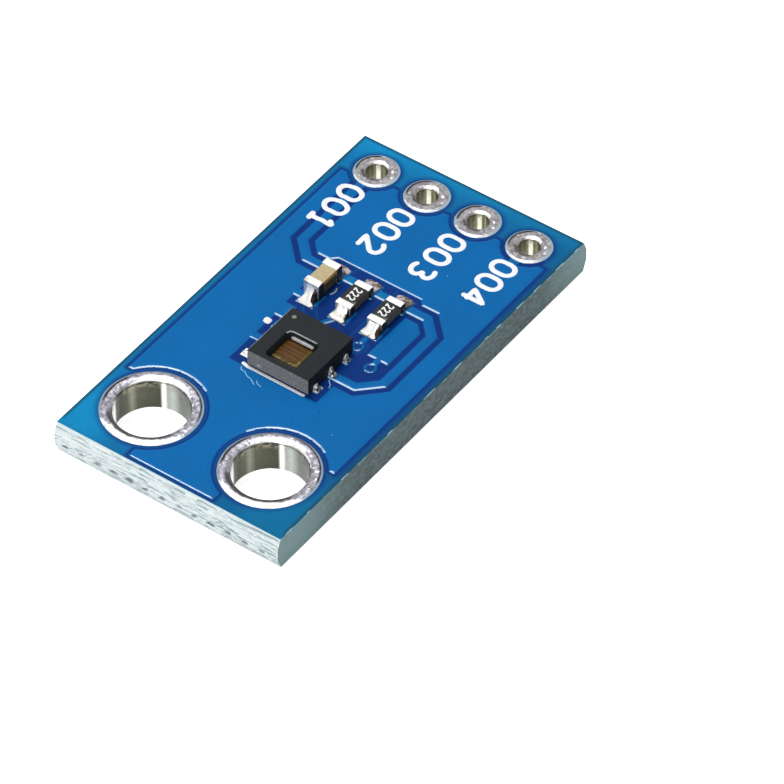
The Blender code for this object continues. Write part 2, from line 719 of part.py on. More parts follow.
def build_capacitor():
    """The ceramic capacitor across the supply, standing on its two lands."""
    x = PASSIVE_X[0]
    half = PASSIVE_WIDTH / 2 - BAND_SKIN
    ends = (PASSIVE_Y - PASSIVE_LENGTH / 2, PASSIVE_Y + PASSIVE_LENGTH / 2)
    z_span = (PART_LOW + BAND_SKIN, PART_LOW + CAPACITOR_HEIGHT - BAND_SKIN)
    y_span = (ends[0] + BAND_SKIN, ends[1] - BAND_SKIN)
    block("capacitor_body", (x - half, x + half), y_span, z_span, CERAMIC)
    for net, end, side in (("ground", ends[0], -1), ("supply", ends[1], 1)):
        end_cap(f"capacitor_cap_{net}", x, end, side, CAPACITOR_HEIGHT, CAPACITOR_BAND)
        passive_joint(f"capacitor_joint_{net}", x, end, side, CAPACITOR_FILLET)


def build_resistor(net, x):
    """A chip resistor: a ceramic slab, a dark glaze between its end caps, and its solder."""
    half = PASSIVE_WIDTH / 2 - BAND_SKIN
    ends = (PASSIVE_Y - PASSIVE_LENGTH / 2, PASSIVE_Y + PASSIVE_LENGTH / 2)
    top = PART_LOW + RESISTOR_HEIGHT
    y_span = (ends[0] + BAND_SKIN, ends[1] - BAND_SKIN)
    z_span = (PART_LOW + BAND_SKIN, top - BAND_SKIN)
    block(f"resistor_{net}_body", (x - half, x + half), y_span, z_span, ALUMINA)
    glaze_y = (ends[0] + RESISTOR_BAND + FIT_GAP, ends[1] - RESISTOR_BAND - FIT_GAP)
    glaze_z = (top - BAND_SKIN + LAYER_GAP, top - BAND_SKIN + LAYER_GAP + GLAZE_THICKNESS)
    block(f"resistor_{net}_glaze", (x - half, x + half), glaze_y, glaze_z, GLAZE)
    for where, end, side in (("signal", ends[0], -1), ("supply", ends[1], 1)):
        end_cap(f"resistor_{net}_cap_{where}", x, end, side, RESISTOR_HEIGHT, RESISTOR_BAND)
        passive_joint(f"resistor_{net}_joint_{where}", x, end, side, RESISTOR_FILLET)


def window_outline(inset=0.0):
    """The round-cornered outline of the sensor's window, or one that lies inside it."""
    x, y = SENSOR_X + WINDOW_OFFSET[0], SENSOR_Y + WINDOW_OFFSET[1]
    wide, long = WINDOW_SIZE[0] / 2 - inset, WINDOW_SIZE[1] / 2 - inset
    return rounded(x - wide, x + wide, y - long, y + long, WINDOW_CORNER - inset)


def build_sensor_body():
    """The moulded package with its open window and the pockets for its metal."""
    x, y = SENSOR_X, SENSOR_Y
    half = SENSOR_SIDE / 2
    z_span = (PART_LOW, PART_LOW + SENSOR_HEIGHT)
    body = block("sensor_body", (x - half, x + half), (y - half, y + half), z_span, MOULDING, SENSOR_EDGE)
    floor = z_span[1] - WINDOW_DEPTH
    window = plate("window_cut", [window_outline()], floor, z_span[1] + CUT_REACH)
    cutters = [window]
    low = PART_LOW - CUT_REACH
    for side in (-1, 1):
        for row, pin_y in enumerate(SENSOR_PIN_Y):
            inner = x + side * (half - CONTACT_LENGTH - FIT_GAP)
            x_span = sorted((inner, x + side * (half + CUT_REACH)))
            wide = CONTACT_WIDTH / 2 + FIT_GAP
            span = (low, PART_LOW + CONTACT_HEIGHT + FIT_GAP)
            name = f"contact_pocket_{side}_{row}"
            cutters.append(block(name, x_span, (pin_y - wide, pin_y + wide), span))
    wide, long = PADDLE_WIDTH / 2 + FIT_GAP, PADDLE_LENGTH / 2 + FIT_GAP
    span = (low, PART_LOW + PADDLE_THICKNESS + FIT_GAP)
    cutters.append(block("paddle_pocket", (x - wide, x + wide), (y - long, y + long), span))
    boolean(body, cutters, "DIFFERENCE")
    return body


def build_sensor_metal():
    """The six contacts and the heat paddle, with the solder that holds them."""
    x, y = SENSOR_X, SENSOR_Y
    half = SENSOR_SIDE / 2
    foot = COPPER_TOP + LAYER_GAP
    number = {(-1, 0): 1, (-1, 1): 2, (-1, 2): 3, (1, 2): 4, (1, 1): 5, (1, 0): 6}
    for (side, row), pin in number.items():
        pin_y = SENSOR_PIN_Y[row]
        x_span = sorted((x + side * (half - CONTACT_LENGTH), x + side * half))
        y_span = (pin_y - CONTACT_WIDTH / 2, pin_y + CONTACT_WIDTH / 2)
        block(f"sensor_contact_{pin}", x_span, y_span, (PART_LOW, PART_LOW + CONTACT_HEIGHT), TINNED)
        inner = x + side * (half + FIT_GAP)
        outer = FOOTPRINT_X + side * (SENSOR_LAND_OUT - FILLET_INSET)
        rise = min(abs(outer - inner), STAND_OFF + CONTACT_HEIGHT)
        profile = fillet_profile(inner, outer, foot, rise, SENSOR_JOINT_TIP)
        joint = plate(f"sensor_joint_{pin}", [profile], -y_span[1], -y_span[0], SOLDER, along="X")
        apply_matrix(joint.data, Matrix.Rotation(math.radians(-90), 4, "Z"))
    wide, long = PADDLE_WIDTH / 2, PADDLE_LENGTH / 2
    spans = (x - wide, x + wide), (y - long, y + long)
    block("sensor_paddle", *spans, (PART_LOW, PART_LOW + PADDLE_THICKNESS), TINNED)
    block("heat_joint", *spans, (foot, PART_LOW - LAYER_GAP), SOLDER)


def build_sensor_die():
    """The bare chip in the window's floor and the amber film that takes up the moisture."""
    low = PART_LOW + SENSOR_HEIGHT - WINDOW_DEPTH + LAYER_GAP
    plate("sensor_die", [window_outline(DIE_INSET)], low, low + DIE_THICKNESS, SILICON)
    film_low = low + DIE_THICKNESS + LAYER_GAP
    plate("sensing_film", [window_outline(DIE_INSET)], film_low, film_low + FILM_THICKNESS, FILM)


for startup in list(bpy.data.objects):
    bpy.data.objects.remove(startup)

MODULE = new_collection("temperature_humidity_module")
CUTTERS = new_collection("cutters")

LAMINATE = finish("glass fibre laminate", (0.50, 0.58, 0.54), 0.7, 0.0)
COATED = finish("blue coated copper", (0.015, 0.15, 0.44), 0.35, 0.0)
TINNED = finish("tinned copper", (0.72, 0.71, 0.70), 0.3, 1.0)
SOLDER = finish("solder", (0.78, 0.77, 0.76), 0.22, 1.0)
MOULDING = finish("black moulding", (0.03, 0.032, 0.036), 0.5, 0.0)
CERAMIC = finish("tan ceramic", (0.56, 0.42, 0.23), 0.45, 0.0)
ALUMINA = finish("white alumina", (0.80, 0.79, 0.76), 0.5, 0.0)
GLAZE = finish("black glaze", (0.012, 0.012, 0.013), 0.25, 0.0)
SILICON = finish("silicon", (0.22, 0.22, 0.25), 0.2, 0.6)
FILM = finish("amber film", (0.32, 0.14, 0.03), 0.2, 0.0)

build_board()
build_pour()
build_supply_trace()
build_ground_island()
build_signal_traces()
build_spare_lands()
build_bottom_copper()
build_holes()
build_sensor_body()
build_sensor_metal()
build_sensor_die()
build_capacitor()
for signal, place_x in (("data", PASSIVE_X[1]), ("clock", PASSIVE_X[2])):
    build_resistor(signal, place_x)
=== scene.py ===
"""The looks of a temperature and humidity sensor module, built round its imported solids.

Lengths are in millimetres until a finished mesh is scaled to metres. The board lies flat with its pin
row towards +Y and its mounting holes towards -Y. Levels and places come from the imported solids' boxes,
so every piece sits where its solid is.
"""

import logging
import math
from collections.abc import Callable, Iterable, Sequence
from dataclasses import dataclass
from enum import Enum
from typing import Any

import bmesh
import bpy
import numpy as np
from bmesh.types import BMEdge, BMesh, BMVert
from bpy.types import Material, Mesh, NodeSocket, Object
from mathutils import Matrix, Vector
from mathutils.bvhtree import BVHTree


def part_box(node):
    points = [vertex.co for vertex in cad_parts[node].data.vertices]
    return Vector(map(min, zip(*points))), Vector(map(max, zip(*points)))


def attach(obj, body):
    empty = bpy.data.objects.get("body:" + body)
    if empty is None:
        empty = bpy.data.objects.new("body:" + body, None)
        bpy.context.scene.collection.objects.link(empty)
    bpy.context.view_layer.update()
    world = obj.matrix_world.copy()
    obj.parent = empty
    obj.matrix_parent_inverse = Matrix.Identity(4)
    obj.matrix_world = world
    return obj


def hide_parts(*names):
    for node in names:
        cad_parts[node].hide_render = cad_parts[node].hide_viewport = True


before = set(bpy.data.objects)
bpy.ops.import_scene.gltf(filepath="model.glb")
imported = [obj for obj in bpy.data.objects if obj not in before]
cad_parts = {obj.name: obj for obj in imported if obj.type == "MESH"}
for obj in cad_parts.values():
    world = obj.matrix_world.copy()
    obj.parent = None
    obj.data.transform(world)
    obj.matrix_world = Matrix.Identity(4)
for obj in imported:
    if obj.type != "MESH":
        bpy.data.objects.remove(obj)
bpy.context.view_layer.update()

MM = 0.001
BODY = "root"
Colour = tuple[float, float, float]
Point = tuple[float, float]
Run = tuple[float, float]
Channels = tuple[int, int, int]
log = logging.getLogger("sensor_module")


def paint(red: int, green: int, blue: int) -> Colour:
    """Turns a screen colour into the linear values that a shader takes.

    Args:
        red, green, blue: The colour's channels, each from 0 to 255.

    Returns:
        The three linear values.
    """

    def linear(channel: int) -> float:
        """Undoes the screen's curve for one channel."""
        share = channel / 255
        return share / 12.92 if share <= 0.04045 else ((share + 0.055) / 1.055) ** 2.4

    return linear(red), linear(green), linear(blue)


def box_of(node: str) -> tuple[Vector, Vector]:
    """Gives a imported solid's lowest and highest corner, in millimetres."""
    low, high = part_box(node)
    return Vector(low) / MM, Vector(high) / MM


def middle_of(node: str) -> Vector:
    """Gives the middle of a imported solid's box, in millimetres."""
    low, high = box_of(node)
    return (low + high) / 2


# Node trees


def arithmetic(operation: str, swapped: bool = False) -> Callable[["Wire", Any], "Wire"]:
    """Makes a wire's method for one Math operation, with the other value first if swapped."""

    def combine(self: "Wire", other: Any) -> "Wire":
        """Adds the Math node."""
        pair = (other, self) if swapped else (self, other)
        return self.graph.maths(operation, *pair)

    return combine


class Wire:
    """An output socket whose arithmetic adds Math nodes to its tree."""

    __add__ = __radd__ = arithmetic("ADD")
    __sub__ = arithmetic("SUBTRACT")
    __rsub__ = arithmetic("SUBTRACT", swapped=True)
    __mul__ = __rmul__ = arithmetic("MULTIPLY")
    __truediv__ = arithmetic("DIVIDE")
    least = arithmetic("MINIMUM")
    most = arithmetic("MAXIMUM")

    def __init__(self, graph: "Graph", socket: NodeSocket) -> None:
        """Keeps the tree and the socket."""
        self.graph = graph
        self.socket = socket

    def step(self, start: Any, end: Any, kind: str = "SMOOTHSTEP") -> "Wire":
        """Rises from 0 to 1.

        Args:
            start: The value at which it is still 0.
            end: The value from which it is 1.
            kind: SMOOTHSTEP or LINEAR.

        Returns:
            The risen value.
        """
        sockets = {0: self, 1: start, 2: end}
        return self.graph.node("ShaderNodeMapRange", {"interpolation_type": kind}, sockets)


class Graph:
    """A node tree under construction."""

    def __init__(self, tree: bpy.types.NodeTree) -> None:
        """Keeps the tree."""
        self.tree = tree

    def node(
        self,
        kind: str,
        settings: dict[str, Any] | None = None,
        sockets: dict[Any, Any] | None = None,
        output: Any = 0,
    ) -> Wire:
        """Adds a node of any type.

        Args:
            kind: The node's type.
            settings: Its own settings, set first. A ramp's stops go under "stops".
            sockets: The value or wire of each input, by name or place.
            output: The output wanted, by name or place.

        Returns:
            The wanted output.
        """
        made = self.tree.nodes.new(kind)
        for name, value in (settings or {}).items():
            if name == "stops":
                self.set_stops(made.color_ramp, value)
            else:
                setattr(made, name, value)
        for name, value in (sockets or {}).items():
            self.connect(made.inputs[name], value)
        return Wire(self, made.outputs[output])

    def connect(self, socket: NodeSocket, value: Any) -> None:
        """Gives an input its wire, or its plain value."""
        if isinstance(value, Wire):
            self.tree.links.new(value.socket, socket)
        else:
            socket.default_value = value

    @staticmethod
    def set_stops(ramp: bpy.types.ColorRamp, stops: Sequence[tuple[float, Colour]]) -> None:
        """Puts colours along a ramp, each at its place from 0 to 1."""
        while len(ramp.elements) < len(stops):
            ramp.elements.new(0.5)
        for element, (place, colour) in zip(ramp.elements, stops):
            element.position = place
            element.color = (*colour, 1.0)

    def maths(self, operation: str, *values: Any) -> Wire:
        """Adds a Math node, whose inputs are numbers or wires."""
        return self.node("ShaderNodeMath", {"operation": operation}, dict(enumerate(values)))

    def blend(self, share: Any, first: Any, second: Any) -> Wire:
        """Mixes two colours, each a value or a wire, by the second one's share."""
        first, second = [c if isinstance(c, Wire) else (*c, 1.0) for c in (first, second)]
        return self.node("ShaderNodeMix", {"data_type": "RGBA"}, {0: share, 6: first, 7: second}, 2)

    def times(self, colour: Any, amount: Any) -> Wire:
        """Makes a colour lighter or darker by an amount."""
        return self.node("ShaderNodeVectorMath", {"operation": "SCALE"}, {0: colour, 3: amount})

    def vectors(self, operation: str, *values: Any, output: Any = 0) -> Wire:
        """Adds a Vector Math node, whose inputs are vectors or wires."""
        return self.node("ShaderNodeVectorMath", {"operation": operation}, dict(enumerate(values)), output)

    def part(self, vector: Wire, axis: int) -> Wire:
        """Takes one part of a vector: 0 for X, 1 for Y and 2 for Z."""
        return self.node("ShaderNodeSeparateXYZ", None, {0: vector}, axis)

    def noise(self, where: Wire, scale: float, detail: float = 2.0, twist: float = 0.0) -> Wire:
        """Adds a noise pattern around one half.

        Args:
            where: The coordinates.
            scale: Patches to a millimetre.
            detail: How many finer layers it has.
            twist: How far it is distorted.

        Returns:
            The pattern's value.
        """
        sockets = {"Vector": where, "Scale": scale, "Detail": detail, "Distortion": twist}
        return self.node("ShaderNodeTexNoise", None, sockets)


class Shader(Graph):
    """The node tree of one material, with coordinates in millimetres."""

    def __init__(self, name: str) -> None:
        """Makes an empty material."""
        self.material = bpy.data.materials.new(name)
        self.material.use_nodes = True
        super().__init__(self.material.node_tree)
        self.tree.nodes.clear()

    def place(self, stretch: Sequence[float] = (1.0, 1.0, 1.0)) -> Wire:
        """Gives the place on the module, in millimetres times the stretch of each axis."""
        where = self.node("ShaderNodeTexCoord", output="Object")
        return self.vectors("MULTIPLY", where, [part / MM for part in stretch])

    def mark(self, name: str) -> Wire:
        """Reads a number that the mesh keeps at its points."""
        return self.node("ShaderNodeAttribute", {"attribute_name": name}, output="Fac")

    def bumps(self, height: Any, depth: float, under: Wire | None = None) -> Wire:
        """Turns a height pattern into a normal.

        Args:
            height: The pattern, from 0 to 1.
            depth: What 1 stands for, in millimetres.
            under: A normal that it adds to.

        Returns:
            The normal.
        """
        sockets = {"Height": height, "Distance": depth * MM}
        if under is not None:
            sockets["Normal"] = under
        return self.node("ShaderNodeBump", None, sockets)

    def surface(self, base: Any, roughness: Any, normal: Wire | None = None, **fixed: Any) -> Material:
        """Ends the tree in a Principled shader.

        Args:
            base: The base colour.
            roughness: The roughness.
            normal: The normal, where it has bumps.
            fixed: Other inputs by name, with _ for a space.

        Returns:
            The material.
        """
        base = base if isinstance(base, Wire) else (*base, 1.0)
        sockets = {"Base Color": base, "Roughness": roughness}
        sockets.update({name.replace("_", " "): value for name, value in fixed.items()})
        if normal is not None:
            sockets["Normal"] = normal
        shader = self.node("ShaderNodeBsdfPrincipled", None, sockets)
        self.node_to_output(shader)
        return self.material

    def node_to_output(self, shader: Wire) -> None:
        """Joins a shader to the material's output."""
        output = self.tree.nodes.new("ShaderNodeOutputMaterial")
        self.connect(output.inputs["Surface"], shader)


class Recipe(Graph):
    """A geometry tree with named inputs, which runs once and leaves a plain mesh."""

    kinds = ((Object, "Object"), (int, "Int"), (float, "Float"), (tuple, "Vector"))

    def __init__(self, name: str) -> None:
        """Makes an empty tree that takes and gives a mesh."""
        super().__init__(bpy.data.node_groups.new(name, "GeometryNodeTree"))
        self.tree.interface.new_socket(name="Base", in_out="INPUT", socket_type="NodeSocketGeometry")
        self.tree.interface.new_socket(name="Made", in_out="OUTPUT", socket_type="NodeSocketGeometry")
        self.entry = self.tree.nodes.new("NodeGroupInput")
        self.exit = self.tree.nodes.new("NodeGroupOutput")
        self.base = Wire(self, self.entry.outputs["Base"])
        self.values: dict[str, Any] = {}

    def take(self, name: str, value: Any) -> Wire:
        """Adds a named input, and keeps its value for the run by the socket's identifier.

        Args:
            name: Its name.
            value: An object, a whole number, a number or three numbers.

        Returns:
            The input, as a wire inside the tree.
        """
        kind = next(kind for sort, kind in self.kinds if isinstance(value, sort))
        item = self.tree.interface.new_socket(name=name, in_out="INPUT", socket_type=f"NodeSocket{kind}")
        self.values[item.identifier] = value
        return Wire(self, self.entry.outputs[name])

    def sheet(self, source: Wire) -> Wire:
        """Gives the geometry of an object that is an input."""
        return self.node("GeometryNodeObjectInfo", None, {"Object": source}, "Geometry")

    def nearest(self, sheet: Wire, target: str, output: str) -> Wire:
        """Finds the nearest of a geometry's FACES or EDGES: its Distance or its Position."""
        return self.node("GeometryNodeProximity", {"target_element": target}, {0: sheet}, output)

    def keep(self, geometry: Wire, name: str, value: Wire) -> Wire:
        """Stores a number at each point, for a material to read."""
        sockets = {"Geometry": geometry, "Name": name, "Value": value}
        return self.node("GeometryNodeStoreNamedAttribute", None, sockets)

    def serve(self, geometry: Wire, finish: Material) -> None:
        """Ends the tree in real geometry with a material."""
        real = self.node("GeometryNodeRealizeInstances", None, {0: geometry})
        dressed = self.node("GeometryNodeSetMaterial", None, {"Geometry": real, "Material": finish})
        self.connect(self.exit.inputs["Made"], dressed)

    def run(self, base: Mesh | None = None) -> Mesh:
        """Runs the tree once, from a mesh or from nothing, and gives the made mesh."""
        holder = hold("recipe_holder", base or bpy.data.meshes.new("empty"))
        modifier = holder.modifiers.new("recipe", "NODES")
        modifier.node_group = self.tree
        for identifier, value in self.values.items():
            modifier[identifier] = value
        return finished(holder)


# Meshes


def hold(name: str, data: bpy.types.ID) -> Object:
    """Puts a mesh, a camera or a lamp in the scene as an object."""
    holder = bpy.data.objects.new(name, data)
    bpy.context.scene.collection.objects.link(holder)
    return holder


def finished(holder: Object) -> Mesh:
    """Applies a working object's modifiers, removes it and gives its mesh."""
    bpy.context.view_layer.update()
    ready = holder.evaluated_get(bpy.context.evaluated_depsgraph_get())
    made = bpy.data.meshes.new_from_object(ready)
    bpy.data.objects.remove(holder)
    return made


def modify(holder: Object, kind: str, **settings: Any) -> None:
    """Adds a modifier with its settings."""
    modifier = holder.modifiers.new(kind.lower(), kind)
    for name, value in settings.items():
        setattr(modifier, name, value)


def mesh_of(name: str, points: Sequence | np.ndarray, faces: Iterable[Sequence[int]]) -> Mesh:
    """Makes a mesh from points in millimetres and from the point numbers of each face."""
    mesh = bpy.data.meshes.new(name)
    mesh.from_pydata(np.asarray(points, float).tolist(), [], [list(face) for face in faces])
    return mesh


def shape_of(*meshes: Mesh) -> BMesh:
    """Opens meshes as one shape that can be edited, empty where there are none."""
    shape = bmesh.new()
    for mesh in meshes:
        shape.from_mesh(mesh)
    return shape


def closed_shape(shape: BMesh, mesh: Mesh | None = None) -> Mesh:
    """Writes a shape into a mesh, a new one where none is given, and frees the shape."""
    mesh = mesh or bpy.data.meshes.new("shape")
    shape.to_mesh(mesh)
    shape.free()
    return mesh


def fill(shape: BMesh, edges: Sequence[BMEdge]) -> None:
    """Closes a shape inside some of its edges, and turns every face outwards."""
    bmesh.ops.triangle_fill(shape, edges=edges, use_beauty=False, use_dissolve=False)
    bmesh.ops.recalc_face_normals(shape, faces=shape.faces)


def add_grid(shape: BMesh, points: np.ndarray, finish: int = 0) -> list[BMVert]:
    """Adds rows of points and the faces between them, and gives the new points."""
    made = [shape.verts.new(point) for point in points.reshape(-1, 3)]
    for corners in grid_faces(*points.shape[:2]):
        shape.faces.new([made[corner] for corner in corners]).material_index = finish
    return made


def grid_faces(rows: int, columns: int, wrap_rows: bool = False, wrap_columns: bool = False) -> np.ndarray:
    """Lists the four-sided faces of a grid of points kept row by row.

    Args:
        rows, columns: How many points it has each way.
        wrap_rows: Whether the last row joins the first.
        wrap_columns: Whether the last column joins the first.

    Returns:
        An array of four point numbers a face.
    """
    number = np.arange(rows * columns).reshape(rows, columns)
    if wrap_rows:
        number = np.vstack([number, number[:1]])
    if wrap_columns:
        number = np.hstack([number, number[:, :1]])
    corners = (number[:-1, :-1], number[:-1, 1:], number[1:, 1:], number[1:, :-1])
    return np.stack([corner.ravel() for corner in corners], axis=1)


def read_points(source: Sequence, key: str) -> np.ndarray:
    """Reads three numbers at each of a mesh's points, or of their normals."""
    flat = np.empty(len(source) * 3, np.float32)
    source.foreach_get(key, flat)
    return flat.reshape(-1, 3).astype(float)


def points_of(mesh: Mesh) -> np.ndarray:
    """Gives a mesh's points as an array."""
    return read_points(mesh.vertices, "co")


def normals_of(mesh: Mesh) -> np.ndarray:
    """Gives the direction in which the surface faces at each point."""
    return read_points(mesh.vertex_normals, "vector")


def mark_points(mesh: Mesh, name: str, values: np.ndarray) -> None:
    """Keeps a number at each point, for a material to read."""
    kept = mesh.attributes.new(name, "FLOAT", "POINT")
    kept.data.foreach_set("value", np.asarray(values, np.float32).ravel())


def publish(
    name: str,
    mesh: Mesh,
    finishes: Material | Sequence[Material],
    slot: str,
    stands_for: Sequence[str] = (),
    sharp: float = 40.0,
) -> Object:
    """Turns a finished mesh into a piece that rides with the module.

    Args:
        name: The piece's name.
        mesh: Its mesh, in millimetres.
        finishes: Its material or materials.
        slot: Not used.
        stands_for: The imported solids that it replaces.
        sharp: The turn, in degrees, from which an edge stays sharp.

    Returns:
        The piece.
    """
    mesh.transform(Matrix.Scale(MM, 4))
    mesh.name = name
    if not mesh.materials:
        for finish in [finishes] if isinstance(finishes, Material) else finishes:
            mesh.materials.append(finish)
    mesh.shade_smooth()
    mesh.set_sharp_from_angle(angle=math.radians(sharp))
    piece = hold(name, mesh)
    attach(piece, BODY)
    if stands_for:
        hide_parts(*stands_for)
    log.info("%s: %d faces", name, len(mesh.polygons))
    return piece


class Grain:
    """Seeded roughness made of many small waves, worked out for whole arrays at once."""

    waves = 28

    def __init__(self, seed: int, across: float, along: float) -> None:
        """Draws the waves.

        Args:
            seed: Fixes the draw.
            across: The usual wavelength in the first direction.
            along: The usual wavelength in the second direction.
        """
        draw = np.random.default_rng(seed)
        turn = draw.uniform(0, 2 * np.pi, self.waves)
        size = draw.uniform(0.5, 1.6, self.waves)
        self.rates = np.stack([np.cos(turn) * size / across, np.sin(turn) * size / along])
        self.starts = draw.uniform(0, 2 * np.pi, self.waves)
        self.scale = math.sqrt(2 / self.waves)

    def at(self, first: np.ndarray, second: np.ndarray) -> np.ndarray:
        """Gives the roughness at places in the two directions, mostly between -2 and 2."""
        total = np.zeros(np.broadcast(first, second).shape)
        for across, along, start in zip(*self.rates, self.starts):
            total += np.sin(2 * np.pi * (first * across + second * along) + start)
        return total * self.scale


def mark_turned(mesh: Mesh) -> None:
    """Keeps how far each point's surface faces +X, where solder and bands get painted shade."""
    mark_points(mesh, "turned", np.clip(normals_of(mesh)[:, 0], 0.0, 1.0))


def ease(values: np.ndarray, start: float, end: float) -> np.ndarray:
    """Rises smoothly from 0 at the start to 1 at the end."""
    share = np.clip((values - start) / (end - start), 0.0, 1.0)
    return share * share * (3 - 2 * share)


def rounded_block(low: Vector, high: Vector, edge: float, steps: int = 3) -> Mesh:
    """Makes a box whose edges are round, each with so many faces."""
    shape = shape_of()
    bmesh.ops.create_cube(shape, size=1.0)
    bmesh.ops.scale(shape, vec=high - low, verts=shape.verts)
    bmesh.ops.translate(shape, vec=(high + low) / 2, verts=shape.verts)
    bmesh.ops.bevel(shape, geom=shape.edges[:], offset=edge, segments=steps, profile=0.5, affect="EDGES")
    return closed_shape(shape)


def refine(mesh: Mesh, cuts: int) -> Mesh:
    """Cuts every face in four, a number of times, without changing the shape."""
    holder = hold("refined", mesh)
    modify(holder, "SUBSURF", subdivision_type="SIMPLE", levels=cuts, render_levels=cuts)
    return finished(holder)


def roughen(mesh: Mesh, amount: float, size: float, seed: int) -> None:
    """Moves a mesh's points in and out a little.

    Args:
        mesh: The mesh.
        amount: How far they move.
        size: The usual width of a bump.
        seed: Fixes the bumps.
    """
    points, facing = points_of(mesh), normals_of(mesh)
    first, second = Grain(seed, size, size), Grain(seed + 1, size, size)
    lift = first.at(points[:, 0], points[:, 1]) + second.at(points[:, 2], points[:, 0] - points[:, 1])
    points += facing * (lift * amount / 2)[:, None]
    mesh.vertices.foreach_set("co", points.astype(np.float32).ravel())
    mesh.update()


# Finishes


@dataclass(frozen=True)
class SolderMask:
    """Blue solder mask, navy beside copper, partly painted shade, and teal where light comes through the bare
    board.
    """

    over_copper: Colour = paint(12, 105, 174)
    # over_bare: partly the bare board's own colour, partly painted shade at the foot of copper edges and
    # round the rings.
    over_bare: Colour = paint(10, 52, 124)
    over_rim: Colour = paint(18, 138, 194)
    # thin: the colour of a painted highlight on copper edges that face the light.
    thin: Colour = paint(212, 238, 255)
    opening: Colour = paint(16, 128, 168)
    # brink: the colour of painted shade along the board's rim.
    brink: Colour = paint(24, 80, 102)
    dust: Colour = paint(120, 196, 240)
    nick: Colour = paint(172, 206, 222)
    lit_edge_share: float = 0.7
    brink_share: float = 0.85
    brink_fade: float = 0.8
    fade_run: Run = (9.8, 10.05)
    # right_clear and strip_clear paint shade towards and along the right edge, far_lift paints light at the
    # far +Y end and right_shade paints shade towards +X.
    right_clear: float = 0.12
    strip_clear: float = 0.42
    strip_inset: Run = (0.45, 0.4)
    strip_start: Run = (-7.0, -5.6)
    strip_end: Run = (7.6, 8.6)
    far_lift: float = 0.08
    lift_run: Run = (8.0, 10.3)
    gloss: float = 0.36
    near_run: Run = (0.02, 0.27)
    near_share: float = 0.66
    far_run: Run = (0.5, 2.2)
    right_shade: float = 0.33
    edge_coat: float = 0.9
    half_width: float = 5.5
    shore_run: Run = (-0.035, 0.045)
    line_start: Run = (-0.012, 0.012)
    line_end: Run = (0.06, 0.095)
    line_facing: Run = (0.66, 0.76)
    opening_places: tuple[float, float, float] = (-0.1, 0.78, 2.95)
    opening_share: float = 0.5
    nick_inset: Run = (0.06, 0.045)
    nick_run: Run = (0.52, 0.57)
    nick_share: float = 0.85
    speck_size: Run = (0.025, 0.06)
    speck_draw: Run = (0.72, 0.74)
    speck_share: float = 0.6

    def material(self) -> Material:
        """Builds the material."""
        shader = Shader("blue_solder_mask")
        where = shader.place()
        across, along = shader.part(where, 0), shader.part(where, 1)
        shore, gap = shader.mark("shore"), shader.mark("gap")
        # line picks the copper edges that face the light, where the painted highlight goes.
        line = shore.step(*self.line_start) * (1.0 - shore.step(*self.line_end))
        line = line * shader.mark("facing").step(*self.line_facing)
        cloud = shader.noise(where, 0.45, 3.0).step(0.3, 0.7)
        fine = shader.noise(where, 9.0, 3.0).step(0.3, 0.7)
        # Painted shade: less of the lighter teal towards the right edge and along its strip.
        right = across.step(-self.half_width, self.half_width, "LINEAR")
        strip = self.beside(across, self.strip_inset)
        strip = strip * along.step(*self.strip_start) * (1.0 - along.step(*self.strip_end))
        near_share = self.near_share * (1.0 - self.right_clear * right - self.strip_clear * strip)
        # Navy near copper and rings: partly painted shade at the foot of the copper's step.
        near = gap.least(shader.mark("halo")).step(*self.near_run)
        clear = near * near_share + gap.step(*self.far_run) * (1.0 - self.near_share)
        # Painted light at the far +Y end and painted shade towards +X.
        lift = self.far_lift * along.step(*self.lift_run)
        rim = shader.times(self.over_rim, 1.0 - self.right_shade * right + lift)
        bare = shader.blend(clear, self.over_bare, rim)
        base = shader.blend(shore.step(*self.shore_run), bare, self.over_copper)
        base = shader.blend(self.openings(shader, where) * self.opening_share, base, self.opening)
        # Cloudy tone, and slightly darker towards +X: painted shade.
        base = shader.times(base, 0.95 + 0.08 * cloud + 0.05 * fine - 0.04 * right)
        # Painted shade along the board's rim, fading towards the lit -Y end.
        faint = (0.0 - along).step(*self.fade_run) * self.brink_fade
        base = shader.blend(shader.mark("brink") * self.brink_share * (1.0 - faint), base, self.brink)
        # Painted highlight on the lit copper edges.
        base = shader.blend(line * self.lit_edge_share, base, self.thin)
        base = shader.blend(self.specks(shader, where), base, self.dust)
        base = shader.blend(self.nicks(shader, across), base, self.nick)
        normal = shader.bumps(shader.noise(where, 5.0, 2.0), 0.0015)
        coat = {"Coat_Weight": line * self.edge_coat, "Coat_Roughness": 0.2}
        return shader.surface(base, self.gloss + 0.1 * fine, normal, Specular_IOR_Level=0.05, **coat)

    def beside(self, across: Wire, insets: Run) -> Wire:
        """Rises from 0 to 1 between two distances from the right edge."""
        return across.step(*[self.half_width - inset for inset in insets])

    def openings(self, shader: Shader, where: Wire) -> Wire:
        """Gives the two spots between the parts where light comes through, as a share from 0 to 1."""
        x, y, z = [shader.part(where, axis) for axis in range(3)]
        middle, half, level = self.opening_places
        from_x = shader.maths("ABSOLUTE", shader.maths("ABSOLUTE", x - middle) - half)
        from_y = shader.maths("ABSOLUTE", y - level)
        return (1.0 - from_x.step(0.12, 0.2)) * (1.0 - from_y.step(0.1, 0.19)) * z.step(1.0, 1.1)

    def nicks(self, shader: Shader, across: Wire) -> Wire:
        """Gives the pale dashes where the router nicked the right edge, as a share from 0 to 1."""
        gaps = shader.noise(shader.place((0.0, 1.1, 0.0)), 1.0, 2.0)
        return self.beside(across, self.nick_inset) * gaps.step(*self.nick_run) * self.nick_share

